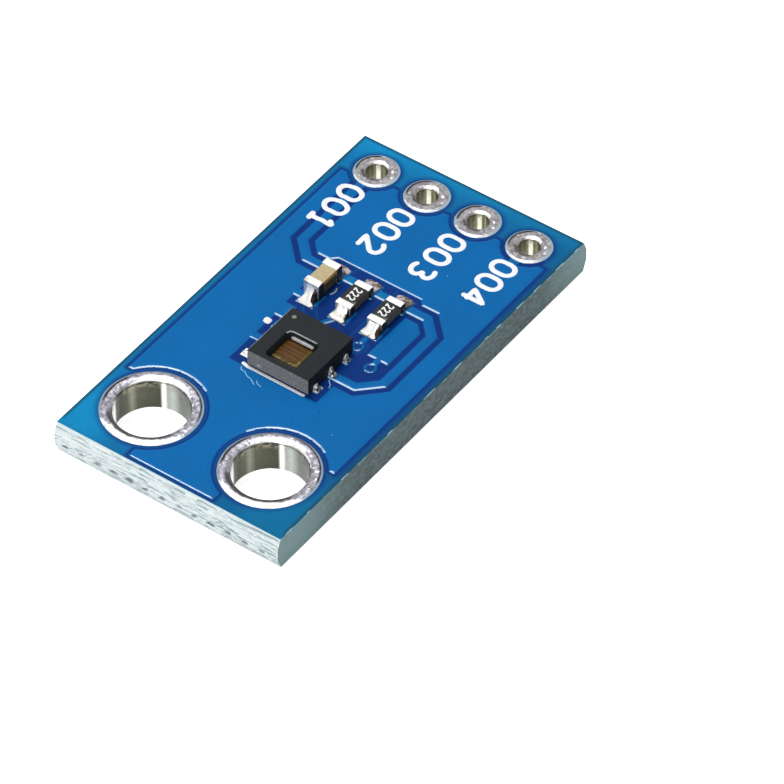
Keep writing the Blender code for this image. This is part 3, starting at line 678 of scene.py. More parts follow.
    def specks(self, shader: Shader, where: Wire) -> Wire:
        """Gives a few tiny specks of dust, as a share from 0 to 1."""
        near = shader.node("ShaderNodeTexVoronoi", None, {"Vector": where, "Scale": 1.3}, "Distance")
        tone = Wire(shader, near.socket.node.outputs["Color"])
        draw = shader.node("ShaderNodeSeparateColor", None, {0: tone})
        return (1.0 - near.step(*self.speck_size)) * draw.step(*self.speck_draw) * self.speck_share


@dataclass(frozen=True)
class Ink:
    """White component ink, slightly chalky."""

    tone: Colour = paint(252, 253, 255)

    def material(self) -> Material:
        """Builds the material."""
        shader = Shader("white_ink")
        grain = shader.noise(shader.place(), 14.0, 3.0).step(0.25, 0.75)
        base = shader.times(self.tone, 0.96 + 0.04 * grain)
        return shader.surface(base, 0.55 + 0.15 * grain, shader.bumps(grain, 0.003), Specular_IOR_Level=0.3)


@dataclass(frozen=True)
class Tin:
    """Levelled tin on a plated ring: mottled faces with painted highlights and painted shade, and painted
    reflections streaked from top to bottom in the bore.
    """

    name: str
    streaks: Sequence[tuple[float, int, int, int]]
    face_dark: Colour = paint(124, 121, 128)
    face_light: Colour = paint(172, 171, 182)
    rim: Colour = paint(146, 166, 180)
    shade: Colour = paint(44, 44, 42)
    glint: Colour = paint(252, 252, 252)
    upper_patch: Colour = paint(168, 158, 138)
    upper_patch_run: Run = (1.15, 1.5)
    upper_patch_share: float = 0.6
    speck_share: float = 1.0
    bump: float = 0.003

    def material(self) -> Material:
        """Builds the material."""
        shader = Shader(self.name)
        where = shader.place()
        wall = shader.mark("wall")
        turn = shader.maths("ARCTAN2", shader.mark("aside"), shader.mark("ahead")) / (2 * math.pi)
        turn = shader.maths("FRACT", turn + 1.0)
        mottle = shader.noise(where, 5.5, 6.0, 0.8).step(0.34, 0.66)
        speck = shader.noise(where, 6.5, 2.0).step(0.63, 0.7) * self.speck_share
        painted_glint = shader.mark("painted_glint")
        face = shader.blend(mottle, self.face_dark, self.face_light)
        # Bright specks, and the painted highlight of the crescents.
        face = shader.blend(speck.most(painted_glint * (0.66 + 0.34 * mottle)), face, self.glint)
        face = shader.blend(shader.mark("shade"), face, self.shade)
        face = shader.blend(shader.mark("rim") * (1.0 - painted_glint), face, self.rim)
        # Round the bore's wall: painted reflections and painted shade.
        stops = [(degrees / 360, paint(*tone)) for degrees, *tone in self.streaks]
        inner = shader.node("ShaderNodeValToRGB", {"stops": stops}, {0: turn}, "Color")
        # Beige patches towards the top of the bore.
        upper_patch = shader.part(where, 2).step(*self.upper_patch_run) * shader.noise(where, 4.5, 4.0).step(0.44, 0.58)
        inner = shader.blend(upper_patch * self.upper_patch_share, inner, self.upper_patch)
        inner = shader.times(inner, 0.84 + 0.32 * shader.noise(where, 5.0, 4.0))
        base = shader.blend(wall, face, inner)
        rough = 0.3 + 0.1 * mottle
        normal = shader.bumps(shader.noise(where, 7.0, 3.0, 0.5) * (1.0 - 0.85 * painted_glint), self.bump)
        return shader.surface(base, rough, normal, Metallic=1.0)


# Colours round each bore's wall, by turn in degrees: painted reflections and painted shade.
MOUNT_BORE_REFLECTIONS = (
    (0.0, 92, 94, 88),
    (36.0, 80, 82, 76),
    (60.0, 92, 95, 90),
    (80.0, 116, 120, 116),
    (94.0, 178, 184, 180),
    (104.0, 160, 165, 158),
    (107.5, 252, 252, 240),
    (111.5, 252, 252, 242),
    (114.5, 74, 76, 65),
    (134.0, 80, 82, 70),
    (149.0, 88, 90, 77),
    (158.0, 134, 136, 122),
    (166.0, 90, 92, 79),
    (180.0, 66, 68, 57),
    (192.0, 80, 82, 71),
    (197.0, 252, 252, 250),
    (213.0, 252, 252, 250),
    (222.0, 92, 92, 86),
    (359.0, 92, 94, 88),
)
PIN_BORE_REFLECTIONS = (
    (0.0, 120, 122, 110),
    (52.0, 104, 106, 92),
    (70.0, 148, 150, 126),
    (82.0, 206, 206, 180),
    (92.0, 132, 132, 106),
    (101.0, 110, 110, 84),
    (106.0, 255, 255, 240),
    (124.0, 255, 255, 240),
    (130.0, 134, 136, 112),
    (150.0, 150, 152, 130),
    (162.0, 196, 196, 178),
    (176.0, 130, 132, 116),
    (205.0, 255, 255, 250),
    (335.0, 255, 255, 250),
    (359.0, 120, 122, 110),
)


@dataclass(frozen=True)
class Solder:
    """Bright solder with dark flowing patches, and painted shade on faces turned towards +X."""

    name: str = "solder"
    bright: Colour = paint(236, 235, 230)
    dull: Colour = paint(92, 84, 76)
    turned_shade: Colour = paint(58, 46, 38)
    patch: float = 2.2
    share: float = 0.66
    metal: float = 0.75

    def material(self) -> Material:
        """Builds the material."""
        shader = Shader(self.name)
        where = shader.place()
        flow = shader.noise(where, self.patch, 3.0, 1.2).step(self.share - 0.06, self.share + 0.1)
        fine = shader.noise(where, 11.0, 2.0)
        base = shader.blend(flow, self.bright, self.dull)
        edge = shader.noise(where, 5.0, 3.0) - 0.5
        # Painted shade on faces turned towards +X, away from the light.
        base = shader.blend((shader.mark("turned") + 0.7 * edge).step(0.14, 0.5), base, self.turned_shade)
        return shader.surface(base, 0.28 + 0.16 * fine, shader.bumps(fine, 0.004), Metallic=self.metal)


@dataclass(frozen=True)
class Fibre:
    """Cut glass-fibre laminate: thin layers, short dashes of cut bundles and a paler top edge, partly a
    painted highlight.
    """

    name: str
    light: Colour
    dark: Colour
    pit: Colour
    edge: Colour
    dash: Sequence[float]
    dash_share: float
    blotch: float
    blotch_share: float = 0.0
    edge_gaps: float = 0.15
    layer_share: float = 0.0
    layer_pitch: float = 0.19
    glow: Colour = paint(152, 184, 188)
    glow_share: float = 0.0
    glow_run: Run = (5.0, 9.6)
    far_run: Run = (6.5, 10.5)

    def material(self) -> Material:
        """Builds the material."""
        shader = Shader(self.name)
        dashes = shader.noise(shader.place(self.dash), 1.0, 2.0, 0.1)
        layers = shader.noise(shader.place((0.15, 0.15, 10.0)), 1.0, 1.0)
        fine = shader.noise(shader.place(), 15.0, 3.0)
        blotches = shader.noise(shader.place((1.0, 0.6, 1.0)), self.blotch, 4.0, 0.3)
        amount = dashes.step(0.5, 0.6) * (0.25 + 0.75 * layers.step(0.4, 0.56)) * self.dash_share
        base = shader.blend(amount, self.light, self.dark)
        base = shader.blend(self.layers(shader) * self.layer_share, base, self.dark)
        base = shader.blend(blotches.step(0.42, 0.62) * self.blotch_share, base, self.pit)
        # Painted light towards both ends of the board.
        along = shader.part(shader.place(), 1)
        ends = (0.0 - along).step(*self.glow_run) + 0.95 * along.step(*self.far_run)
        base = shader.blend(ends * self.glow_share, base, self.glow)
        sunk = shader.mark("pit").step(0.2, 0.75) * (0.6 + 0.6 * fine.step(0.3, 0.7))
        base = shader.blend(sunk, base, self.pit)
        base = shader.times(base, 0.86 + 0.28 * fine)
        gaps = shader.noise(shader.place((1.6, 1.6, 0.2)), 1.0, 3.0).step(0.44, 0.54)
        # The paler top edge: the mask's blue on the routed sides, and a painted highlight on the snapped
        # ends.
        base = shader.blend(shader.mark("edge") * (1.0 - self.edge_gaps * gaps), base, self.edge)
        normal = shader.bumps(dashes, 0.015, shader.bumps(fine, 0.01))
        return shader.surface(base, 0.7, normal, Specular_IOR_Level=0.3)

    def layers(self, shader: Shader) -> Wire:
        """Gives the thin dark lines between the layers of cloth, broken here and there."""
        height = shader.part(shader.place(), 2)
        drift = shader.noise(shader.place((0.45, 0.45, 1.6)), 1.0, 2.0)
        wave = shader.maths("SINE", (height / self.layer_pitch + 1.6 * drift) * (2 * math.pi))
        whole = shader.noise(shader.place((1.7, 1.7, 7.0)), 1.0, 2.0).step(0.4, 0.56)
        return wave.step(0.35, 0.9) * whole


@dataclass(frozen=True)
class Compound:
    """A moulded or fired material: an even colour with fine grain and faint clouds."""

    name: str
    tone: Colour
    flecked: Colour
    rough: float = 0.5
    grain: float = 14.0
    depth: float = 0.006
    fleck_share: float = 0.3
    stretch: Sequence[float] = (1.0, 1.0, 1.0)
    shine: float = 0.3

    def material(self) -> Material:
        """Builds the material."""
        shader = Shader(self.name)
        where = shader.place(self.stretch)
        grain = shader.noise(where, self.grain, 4.0)
        cloud = shader.noise(where, 1.3, 2.0)
        fleck = grain.step(0.68 - self.fleck_share * 0.5, 0.74)
        base = shader.blend(fleck, self.tone, self.flecked)
        base = shader.times(base, 0.88 + 0.24 * cloud)
        normal = shader.bumps(grain, self.depth)
        return shader.surface(base, self.rough + 0.12 * cloud, normal, Specular_IOR_Level=self.shine)


@dataclass(frozen=True)
class AmberFilm:
    """The thin amber layer in the window, banded and lighter towards its rim."""

    deep: Colour = paint(76, 48, 16)
    warm: Colour = paint(98, 66, 22)
    rim: Colour = paint(88, 76, 32)
    pad: Colour = paint(158, 138, 74)

    def material(self) -> Material:
        """Builds the material."""
        shader = Shader("amber_film")
        bands = shader.noise(shader.place((1.2, 7.0, 1.0)), 1.0, 3.0, 0.4).step(0.35, 0.65)
        base = shader.blend(bands, self.deep, self.warm)
        rim = shader.mark("rim")
        base = shader.blend(rim, base, self.rim)
        pads = shader.noise(shader.place(), 8.0, 1.0).step(0.5, 0.62) * rim.step(0.35, 0.8)
        base = shader.blend(pads * 0.7, base, self.pad)
        return shader.surface(base, 0.25 + 0.14 * bands, shader.bumps(bands, 0.004), Specular_IOR_Level=0.15)


def fired(name: str, tone: Channels, flecked: Channels, *sizes: float, **named: Any) -> Material:
    """Builds a moulded or fired material from screen colours and what else it takes."""
    return Compound(name, paint(*tone), paint(*flecked), *sizes, **named).material()


class Palette:
    """Every material of the module, each made once."""

    def __init__(self) -> None:
        """Builds the materials."""
        self.mask = SolderMask().material()
        self.ink = Ink().material()
        self.mount_tin = Tin("mount_tin", MOUNT_BORE_REFLECTIONS).material()
        tones = paint(124, 121, 124), paint(156, 153, 156), paint(158, 180, 192)
        self.pin_tin = Tin("pin_tin", PIN_BORE_REFLECTIONS, *tones, speck_share=0.35, bump=0.0015).material()
        self.solder = Solder().material()
        # A darker copy of the solder for the joints at the +Y end: painted shade.
        tones = paint(196, 184, 182), paint(96, 84, 82), paint(104, 90, 86)
        self.dark_solder = Solder("shaded_back_solder", *tones, patch=4.2, share=0.5).material()
        tones = paint(240, 240, 238), paint(84, 84, 86), paint(92, 92, 94)
        self.foot_solder = Solder("contact_solder", *tones, patch=5.0, share=0.6).material()
        tones = paint(240, 239, 234), paint(176, 172, 164)
        self.band = Solder("end_band_tin", *tones, share=0.64).material()
        self.snapped = Fibre(
            "snapped_fibre",
            light=paint(245, 254, 255),
            dark=paint(136, 162, 170),
            pit=paint(104, 120, 122),
            edge=paint(222, 248, 255),
            dash=(2.0, 1.0, 13.0),
            dash_share=0.4,
            blotch=1.5,
            layer_share=0.75,
        ).material()
        self.routed = Fibre(
            "routed_fibre",
            light=paint(108, 126, 130),
            dark=paint(70, 84, 88),
            pit=paint(68, 76, 68),
            edge=paint(128, 184, 202),
            dash=(3.0, 3.0, 9.0),
            dash_share=0.7,
            blotch=7.0,
            blotch_share=0.6,
            edge_gaps=0.95,
            glow_share=0.7,
        ).material()
        # The sensor's faces towards ±Y carry the sawn finish painted lighter, and those towards ±X a dark
        # one: painted light and painted shade. Its left top edge carries a painted highlight.
        sawn_lit_face = {"rough": 0.6, "grain": 9.0, "depth": 0.012, "fleck_share": 0.45, "stretch": (1.0, 1.0, 2.5)}
        self.moulding = fired("moulding_top", (38, 42, 45), (50, 53, 56), shine=0.08)
        self.sawn_lit_face = fired("moulding_sawn_lit", (126, 124, 118), (172, 170, 162), **sawn_lit_face)
        self.shaded_side = fired("moulding_shaded_side", (17, 18, 20), (44, 46, 48), shine=0.1)
        self.edge_glint = fired("moulding_edge_glint", (150, 152, 158), (206, 208, 214), 0.4, 5.0)
        self.tan = fired("tan_ceramic", (190, 173, 132), (212, 198, 164), 0.4, 10.0, 0.004)
        # The capacitor's sides towards ±X: dark below and gold-brown in a band at the top, painted shade.
        self.tan_shaded_side = fired("tan_ceramic_shaded_side", (66, 58, 38), (112, 96, 58), 0.45)
        self.tan_shaded_band = fired("tan_ceramic_shaded_band", (172, 132, 62), (196, 158, 92), 0.45)
        self.alumina = fired("white_alumina", (228, 228, 222), (240, 240, 236), 0.55)
        # The resistors' sides towards ±X are painted darker: painted shade.
        self.alumina_shaded_side = fired("shaded_alumina_side", (80, 80, 70), (142, 140, 122))
        self.glaze = fired("black_glaze", (13, 14, 16), (30, 31, 34), 0.22, 8.0, 0.002)
        self.die = fired("dark_die", (40, 34, 26), (70, 58, 36), 0.25, 6.0, 0.002)
        self.film = AmberFilm().material()
        self.gold = fired("gold_line", (112, 78, 38), (140, 104, 56), 0.3, 8.0, 0.002)
        # Pale glossy beads that are painted highlights: on the window's far wall, and beside the capacitor
        # for a via's rim.
        self.bead = fired("pale_glint_bead", (176, 178, 178), (210, 211, 211), 0.2, 5.0, 0.004)
        self.dull_glint_bead = fired("dull_glint_bead", (160, 162, 164), (190, 192, 194), 0.2, 5.0, 0.004)
        self.flux = fired("dried_flux", (124, 186, 226), (196, 224, 240), 0.4, 12.0)


# The board


class Face(Enum):
    """The two faces of the board."""

    TOP = 1
    UNDER = -1


@dataclass(frozen=True)
class Hole:
    """A plated hole: its place and its sizes."""

    node: str
    bore: float
    lip_width: float
    lip_drop: float

    @property
    def centre(self) -> Point:
        """The hole's axis."""
        middle = middle_of(self.node)
        return middle.x, middle.y

    @property
    def ring(self) -> float:
        """The ring's outer radius."""
        low, high = box_of(self.node)
        return (high.x - low.x) / 2


def module_holes() -> list[Hole]:
    """Lists the two mounting holes and the four pin holes."""
    mounts = [Hole(f"mount_plating_{side}", 3.1, 0.3, 0.15) for side in ("left", "right")]
    pins = [Hole(f"pin_plating_{net}", 0.9, 0.15, 0.1) for net in ("supply", "data", "clock", "ground")]
    return mounts + pins


@dataclass
class MaskSkin:
    """The solder mask on one face, draped over the copper under it."""

    face: Face
    cell: float
    nets: Sequence[str]
    others: Sequence[str]
    holes: Sequence[Hole]
    lit_turn: float = -75.0
    brink_width: float = 0.19
    halo_slope: float = 0.7
    halo_start: float = -0.11
    slope: float = 0.15
    bare_rise: float = 0.004
    edge_run: float = 0.1
    edge_fall: float = 0.002
    seam: float = 0.004
    ripple: float = 0.0015
    weld: float = 1e-3
    disc_share: float = 0.55

    def plan(self, nodes: Sequence[str], outward: int) -> Mesh:
        """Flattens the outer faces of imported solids, upper (1) or lower (-1), into one sheet."""
        shape = shape_of(*[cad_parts[node].data for node in nodes])
        bmesh.ops.scale(shape, vec=(1 / MM,) * 3, verts=shape.verts)
        bmesh.ops.remove_doubles(shape, verts=shape.verts, dist=self.weld)
        inner = [each for each in shape.faces if each.normal.z * outward < 0.9]
        bmesh.ops.delete(shape, geom=inner, context="FACES")
        for point in shape.verts:
            point.co.z = 0.0
        return closed_shape(shape)

    def outline(self, sheet: Mesh) -> Mesh:
        """Keeps only the edges round a sheet."""
        shape = shape_of(sheet)
        inner = [edge for edge in shape.edges if len(edge.link_faces) != 1]
        bmesh.ops.delete(shape, geom=shape.faces[:], context="FACES_ONLY")
        bmesh.ops.delete(shape, geom=inner, context="EDGES")
        return closed_shape(shape)

    def hidden_discs(self) -> Mesh:
        """Makes a disc at each hole, whose rim lies under the hole's ring."""
        shape = shape_of()
        for hole in self.holes:
            radius = hole.bore / 2 + (hole.ring - hole.bore / 2) * self.disc_share
            turn = Matrix.Translation((*hole.centre, 0.0))
            bmesh.ops.create_circle(shape, cap_ends=True, segments=64, radius=radius, matrix=turn)
        return closed_shape(shape)

    def recipe(self, finish: Material, helpers: dict[str, Object]) -> Recipe:
        """Builds the tree that lays a fine sheet over the copper.

        Args:
            finish: The sheet's material.
            helpers: The copper, its rims, the copper behind the board and the discs.

        Returns:
            The tree.
        """
        low, high = box_of("board")
        copper_low, copper_high = box_of(self.nets[0])
        sides = high.x - low.x, score_line() * 2
        counts = [round(side / self.cell) + 1 for side in sides]
        turn = math.radians(self.lit_turn)
        tree = Recipe("draped_mask")
        width, length = tree.take("Width", sides[0]), tree.take("Length", sides[1])
        across, along = tree.take("Across", counts[0]), tree.take("Along", counts[1])
        rise = tree.take("Rise", copper_high.z - copper_low.z - self.bare_rise)
        sizes = "slope", "seam", "edge_run", "edge_fall", "ripple", "brink_width", "halo_slope", "halo_start"
        taken = [tree.take(size.replace("_", " ").capitalize(), getattr(self, size)) for size in sizes]
        slope, seam, edge_run, edge_fall, ripple, brink, halo_slope, halo_start = taken
        lit = tree.take("Lit", (math.cos(turn), math.sin(turn), 0.0))
        copper, rims, behind, discs = [tree.sheet(tree.take(*item)) for item in helpers.items()]
        sockets = {"Size X": width, "Size Y": length, "Vertices X": across, "Vertices Y": along}
        sheet = tree.node("GeometryNodeMeshGrid", None, sockets)
        where = tree.node("GeometryNodeInputPosition")
        near = tree.nearest(copper, "FACES", "Distance")
        from_disc = tree.nearest(discs, "FACES", "Distance")
        side = 2.0 * (1.0 - near.step(0.5 * seam, seam, "LINEAR")) - 1.0
        shore = tree.nearest(rims, "EDGES", "Distance") * side
        towards = tree.vectors("SUBTRACT", tree.nearest(rims, "EDGES", "Position"), where)
        towards = tree.vectors("NORMALIZE", towards)
        from_side = 0.5 * width - tree.maths("ABSOLUTE", tree.part(where, 0))
        from_end = 0.5 * length - tree.maths("ABSOLUTE", tree.part(where, 1))
        from_rim = from_side.least(from_end)
        descent = from_rim.step(0.0, edge_run, "LINEAR")
        fall = 1.0 - descent * descent * (3.0 - 2.0 * descent)
        height = shore.step(0.0, slope, "LINEAR") * rise - fall * edge_fall
        height = height + (tree.noise(where, 1.1, 1.0) - 0.5) * ripple
        # facing places the mask's painted highlight on lit copper edges; halo and brink place its painted
        # shade.
        marks = {
            "shore": shore,
            "facing": tree.vectors("DOT_PRODUCT", towards, lit, output="Value") * side,
            "gap": near.least(tree.nearest(behind, "FACES", "Distance")),
            "halo": from_disc * halo_slope + halo_start,
            "brink": 1.0 - from_rim.step(0.4 * brink, brink),
        }
        for name, value in marks.items():
            sheet = tree.keep(sheet, name, value)
        sockets = {"Geometry": sheet, "Selection": 1.0 - from_disc.step(0.0, 1e-4, "LINEAR")}
        sheet = tree.node("GeometryNodeDeleteGeometry", {"domain": "FACE"}, sockets)
        sockets = {"Geometry": sheet, "Offset": tree.node("ShaderNodeCombineXYZ", None, {2: height})}
        tree.serve(tree.node("GeometryNodeSetPosition", None, sockets), finish)
        return tree

    def draped(self, finish: Material) -> Mesh:
        """Runs the tree for this face, and gives the sheet with height 0 at the bare board."""
        copper = self.plan(self.nets, self.face.value)
        meshes = {
            "Copper": copper,
            "Rims": self.outline(copper),
            "Behind": self.plan(self.others, -self.face.value),
            "Discs": self.hidden_discs(),
        }
        helpers = {name: hold(name, mesh) for name, mesh in meshes.items()}
        made = self.recipe(finish, helpers).run()
        for helper in helpers.values():
            bpy.data.objects.remove(helper)
        return made

    def closed(self, sheet: Mesh) -> None:
        """Gives the sheet a rim and a flat underside, so that it is a thin closed body."""
        shape = shape_of(sheet)
        border = [edge for edge in shape.edges if edge.is_boundary]
        made = bmesh.ops.extrude_edge_only(shape, edges=border)["geom"]
        for point in made:
            if isinstance(point, BMVert):
                point.co.z = -self.edge_fall - 2 * self.bare_rise
        fill(shape, [edge for edge in made if isinstance(edge, BMEdge) and edge.is_boundary])
        closed_shape(shape, sheet)

    def build(self, name: str, finish: Material) -> Object:
        """Makes the piece."""
        sheet = self.draped(finish)
        self.closed(sheet)
        copper_low, copper_high = box_of(self.nets[0])
        if self.face is Face.TOP:
            level = copper_low.z + self.bare_rise
            sheet.transform(Matrix.Translation((0.0, 0.0, level)))
        else:
            level = copper_high.z - self.bare_rise
            sheet.transform(Matrix.Translation((0.0, 0.0, level)) @ Matrix.Scale(-1.0, 4, (0.0, 0.0, 1.0)))
            sheet.flip_normals()
        return publish(name, sheet, finish, "coated_copper", self.nets, 60.0)


def score_line() -> float:
    """Gives how far each score line is from the middle of the board."""
    return box_of("board")[1].y - SCORE_RUN


SCORE_RUN = 0.2
SCORE_DEPTH = 0.47


@dataclass
class Laminate:
    """The glass-fibre core: routed sides, and ends snapped off along score lines."""

    holes: Sequence[Hole]
    cell: float = 0.05
    rows: int = 34
    side_roughness: float = 0.006
    end_roughness: float = 0.014
    ridge: float = 0.012
    tear: float = 0.045
    pit_pitch: float = 0.8
    pit_length: float = 0.27
    pit_height: float = 0.15
    pit_depth: float = 0.07
    pit_level: float = 0.52
    edge_height: float = 0.11
    ragged: float = 0.035
    hole_room: float = 0.09
    hole_sides: int = 96
    seed: int = 7

    def __post_init__(self) -> None:
        """Reads the core's corners."""
        self.low, self.high = box_of("board")

    def end_reach(self, height: np.ndarray) -> np.ndarray:
        """Gives how far out the end face stands at each height, from the middle of the board."""
        from_face = np.minimum(height - self.low.z, self.high.z - height)
        return score_line() + SCORE_RUN * np.clip(from_face / SCORE_DEPTH, 0.0, 1.0)

    def pits(self, along: np.ndarray, height: np.ndarray, seed: int) -> np.ndarray:
        """Gives how deep each place lies in the row of pits where bundles of fibre were cut across.

        Args:
            along, height: Places on an end face.
            seed: Fixes where the pits are.

        Returns:
            A value from 0 to 1 at each place.
        """
        draw = np.random.default_rng(seed)
        total = np.zeros(along.shape)
        for place in np.arange(self.low.x + 0.45, self.high.x - 0.2, self.pit_pitch):
            x = place + draw.uniform(-0.05, 0.05)
            z = self.pit_level + draw.uniform(-0.03, 0.03)
            long, tall = self.pit_length * draw.uniform(0.75, 1.2), self.pit_height * draw.uniform(0.7, 1.25)
            far = ((along - x) / long) ** 2 + ((height - z - (along - x) * 0.12) / tall) ** 2
            total = np.maximum(total, np.exp(-far * 1.3) * draw.uniform(0.6, 1.0))
        return total

    def grid(self, places: np.ndarray) -> tuple[np.ndarray, np.ndarray]:
        """Pairs the places along a wall with its heights, as rows from the underside up."""
        return np.meshgrid(places, np.linspace(self.low.z, self.high.z, self.rows))

    def between(self, height: np.ndarray, start: float, end: float) -> np.ndarray:
        """Rises smoothly from one distance from either face to another, further in."""
        above = ease(height, self.low.z + start, self.low.z + end)
        return above * ease(-height, start - self.high.z, end - self.high.z)

    def end_wall(self, sign: int) -> tuple[np.ndarray, np.ndarray]:
        """Works out one snapped end.

        Args:
            sign: 1 for the end at +Y, -1 for the other.

        Returns:
            Its points as rows from the underside up, and how far each lies in a pit.
        """
        columns = round((self.high.x - self.low.x) / self.cell) + 1
        along, height = self.grid(np.linspace(self.low.x, self.high.x, columns))
        streaks = Grain(self.seed + 30 + sign, 1.4, 0.13).at(along, height)
        layers = Grain(self.seed + 40 + sign, 40.0, 0.19).at(along, height)
        tears = Grain(self.seed + 50 + sign, 0.35, 0.3).at(along, height)
        pit = self.pits(along, height, self.seed + 20 + sign)
        corner = ease(self.high.x - np.abs(along), 0.0, 0.12)
        inner = self.between(height, 0.0, 0.1) * corner
        depth = self.end_roughness * (streaks + 1.4) + self.ridge * (layers + 1.0)
        depth = depth + self.between(height, 0.3, 0.5) * self.tear * np.clip(tears * 0.5 + 0.35, 0.0, 1.0)
        depth = np.clip(depth + self.pit_depth * pit, 0.0, None)
        low_edge = (1.0 - ease(height, self.low.z, self.low.z + 0.14)) * corner
        reach = self.end_reach(height) - depth * inner
        reach = reach - self.ragged * low_edge * np.clip(tears + 0.6, 0.0, 1.6)
        return np.stack([along, sign * reach, height], axis=-1), pit

    def top_edge(self, height: np.ndarray) -> np.ndarray:
        """Gives how near each height is to the upper edge, from 0 to 1."""
        return ease(height, self.high.z - self.edge_height, self.high.z - 0.3 * self.edge_height)

    def side_wall(self, sign: int) -> tuple[np.ndarray, np.ndarray]:
        """Works out one routed side, in the same form as an end."""
        share, height = self.grid(np.linspace(-1.0, 1.0, round(2 * score_line() / self.cell) + 1))
        along = share * self.end_reach(height)
        rough = Grain(self.seed + 60 + sign, 0.25, 0.12).at(along, height)
        inner = self.between(height, 0.0, 0.06) * ease(1.0 - np.abs(share), 0.0, 0.01)
        out = self.high.x - self.side_roughness * np.clip(rough + 1.5, 0.0, None) * inner
        return np.stack([sign * out, along, height], axis=-1), np.zeros(along.shape)

    def build(self, ends: Material, sides: Material) -> Object:
        """Makes the piece."""
        shape = shape_of()
        pit_layer = shape.verts.layers.float.new("pit")
        edge_layer = shape.verts.layers.float.new("edge")
        for maker, finish in ((self.end_wall, 0), (self.side_wall, 1)):
            for sign in (-1, 1):
                points, pit = maker(sign)
                upper = self.top_edge(points[..., 2])
                for vert, deep, share in zip(add_grid(shape, points, finish), pit.ravel(), upper.ravel()):
                    vert[pit_layer] = deep
                    vert[edge_layer] = share
        bmesh.ops.remove_doubles(shape, verts=shape.verts, dist=1e-4)
        self.add_faces(shape)
        return publish("laminate_core", closed_shape(shape), [ends, sides], "laminate", ["board"], 35.0)

    def add_faces(self, shape: BMesh) -> None:
        """Adds the bores, then closes both faces of the core round them."""
        depth = self.high.z - self.low.z
        for hole in self.holes:
            sizes = dict.fromkeys(("radius1", "radius2"), hole.bore / 2 + self.hole_room)
            where = Matrix.Translation((*hole.centre, (self.low.z + self.high.z) / 2))
            bmesh.ops.create_cone(shape, segments=self.hole_sides, depth=depth, matrix=where, **sizes)
        for level in (self.low.z, self.high.z):
            open_edges = [edge for edge in shape.edges if edge.is_boundary]
            fill(shape, [e for e in open_edges if all(abs(point.co.z - level) < 1e-4 for point in e.verts)])


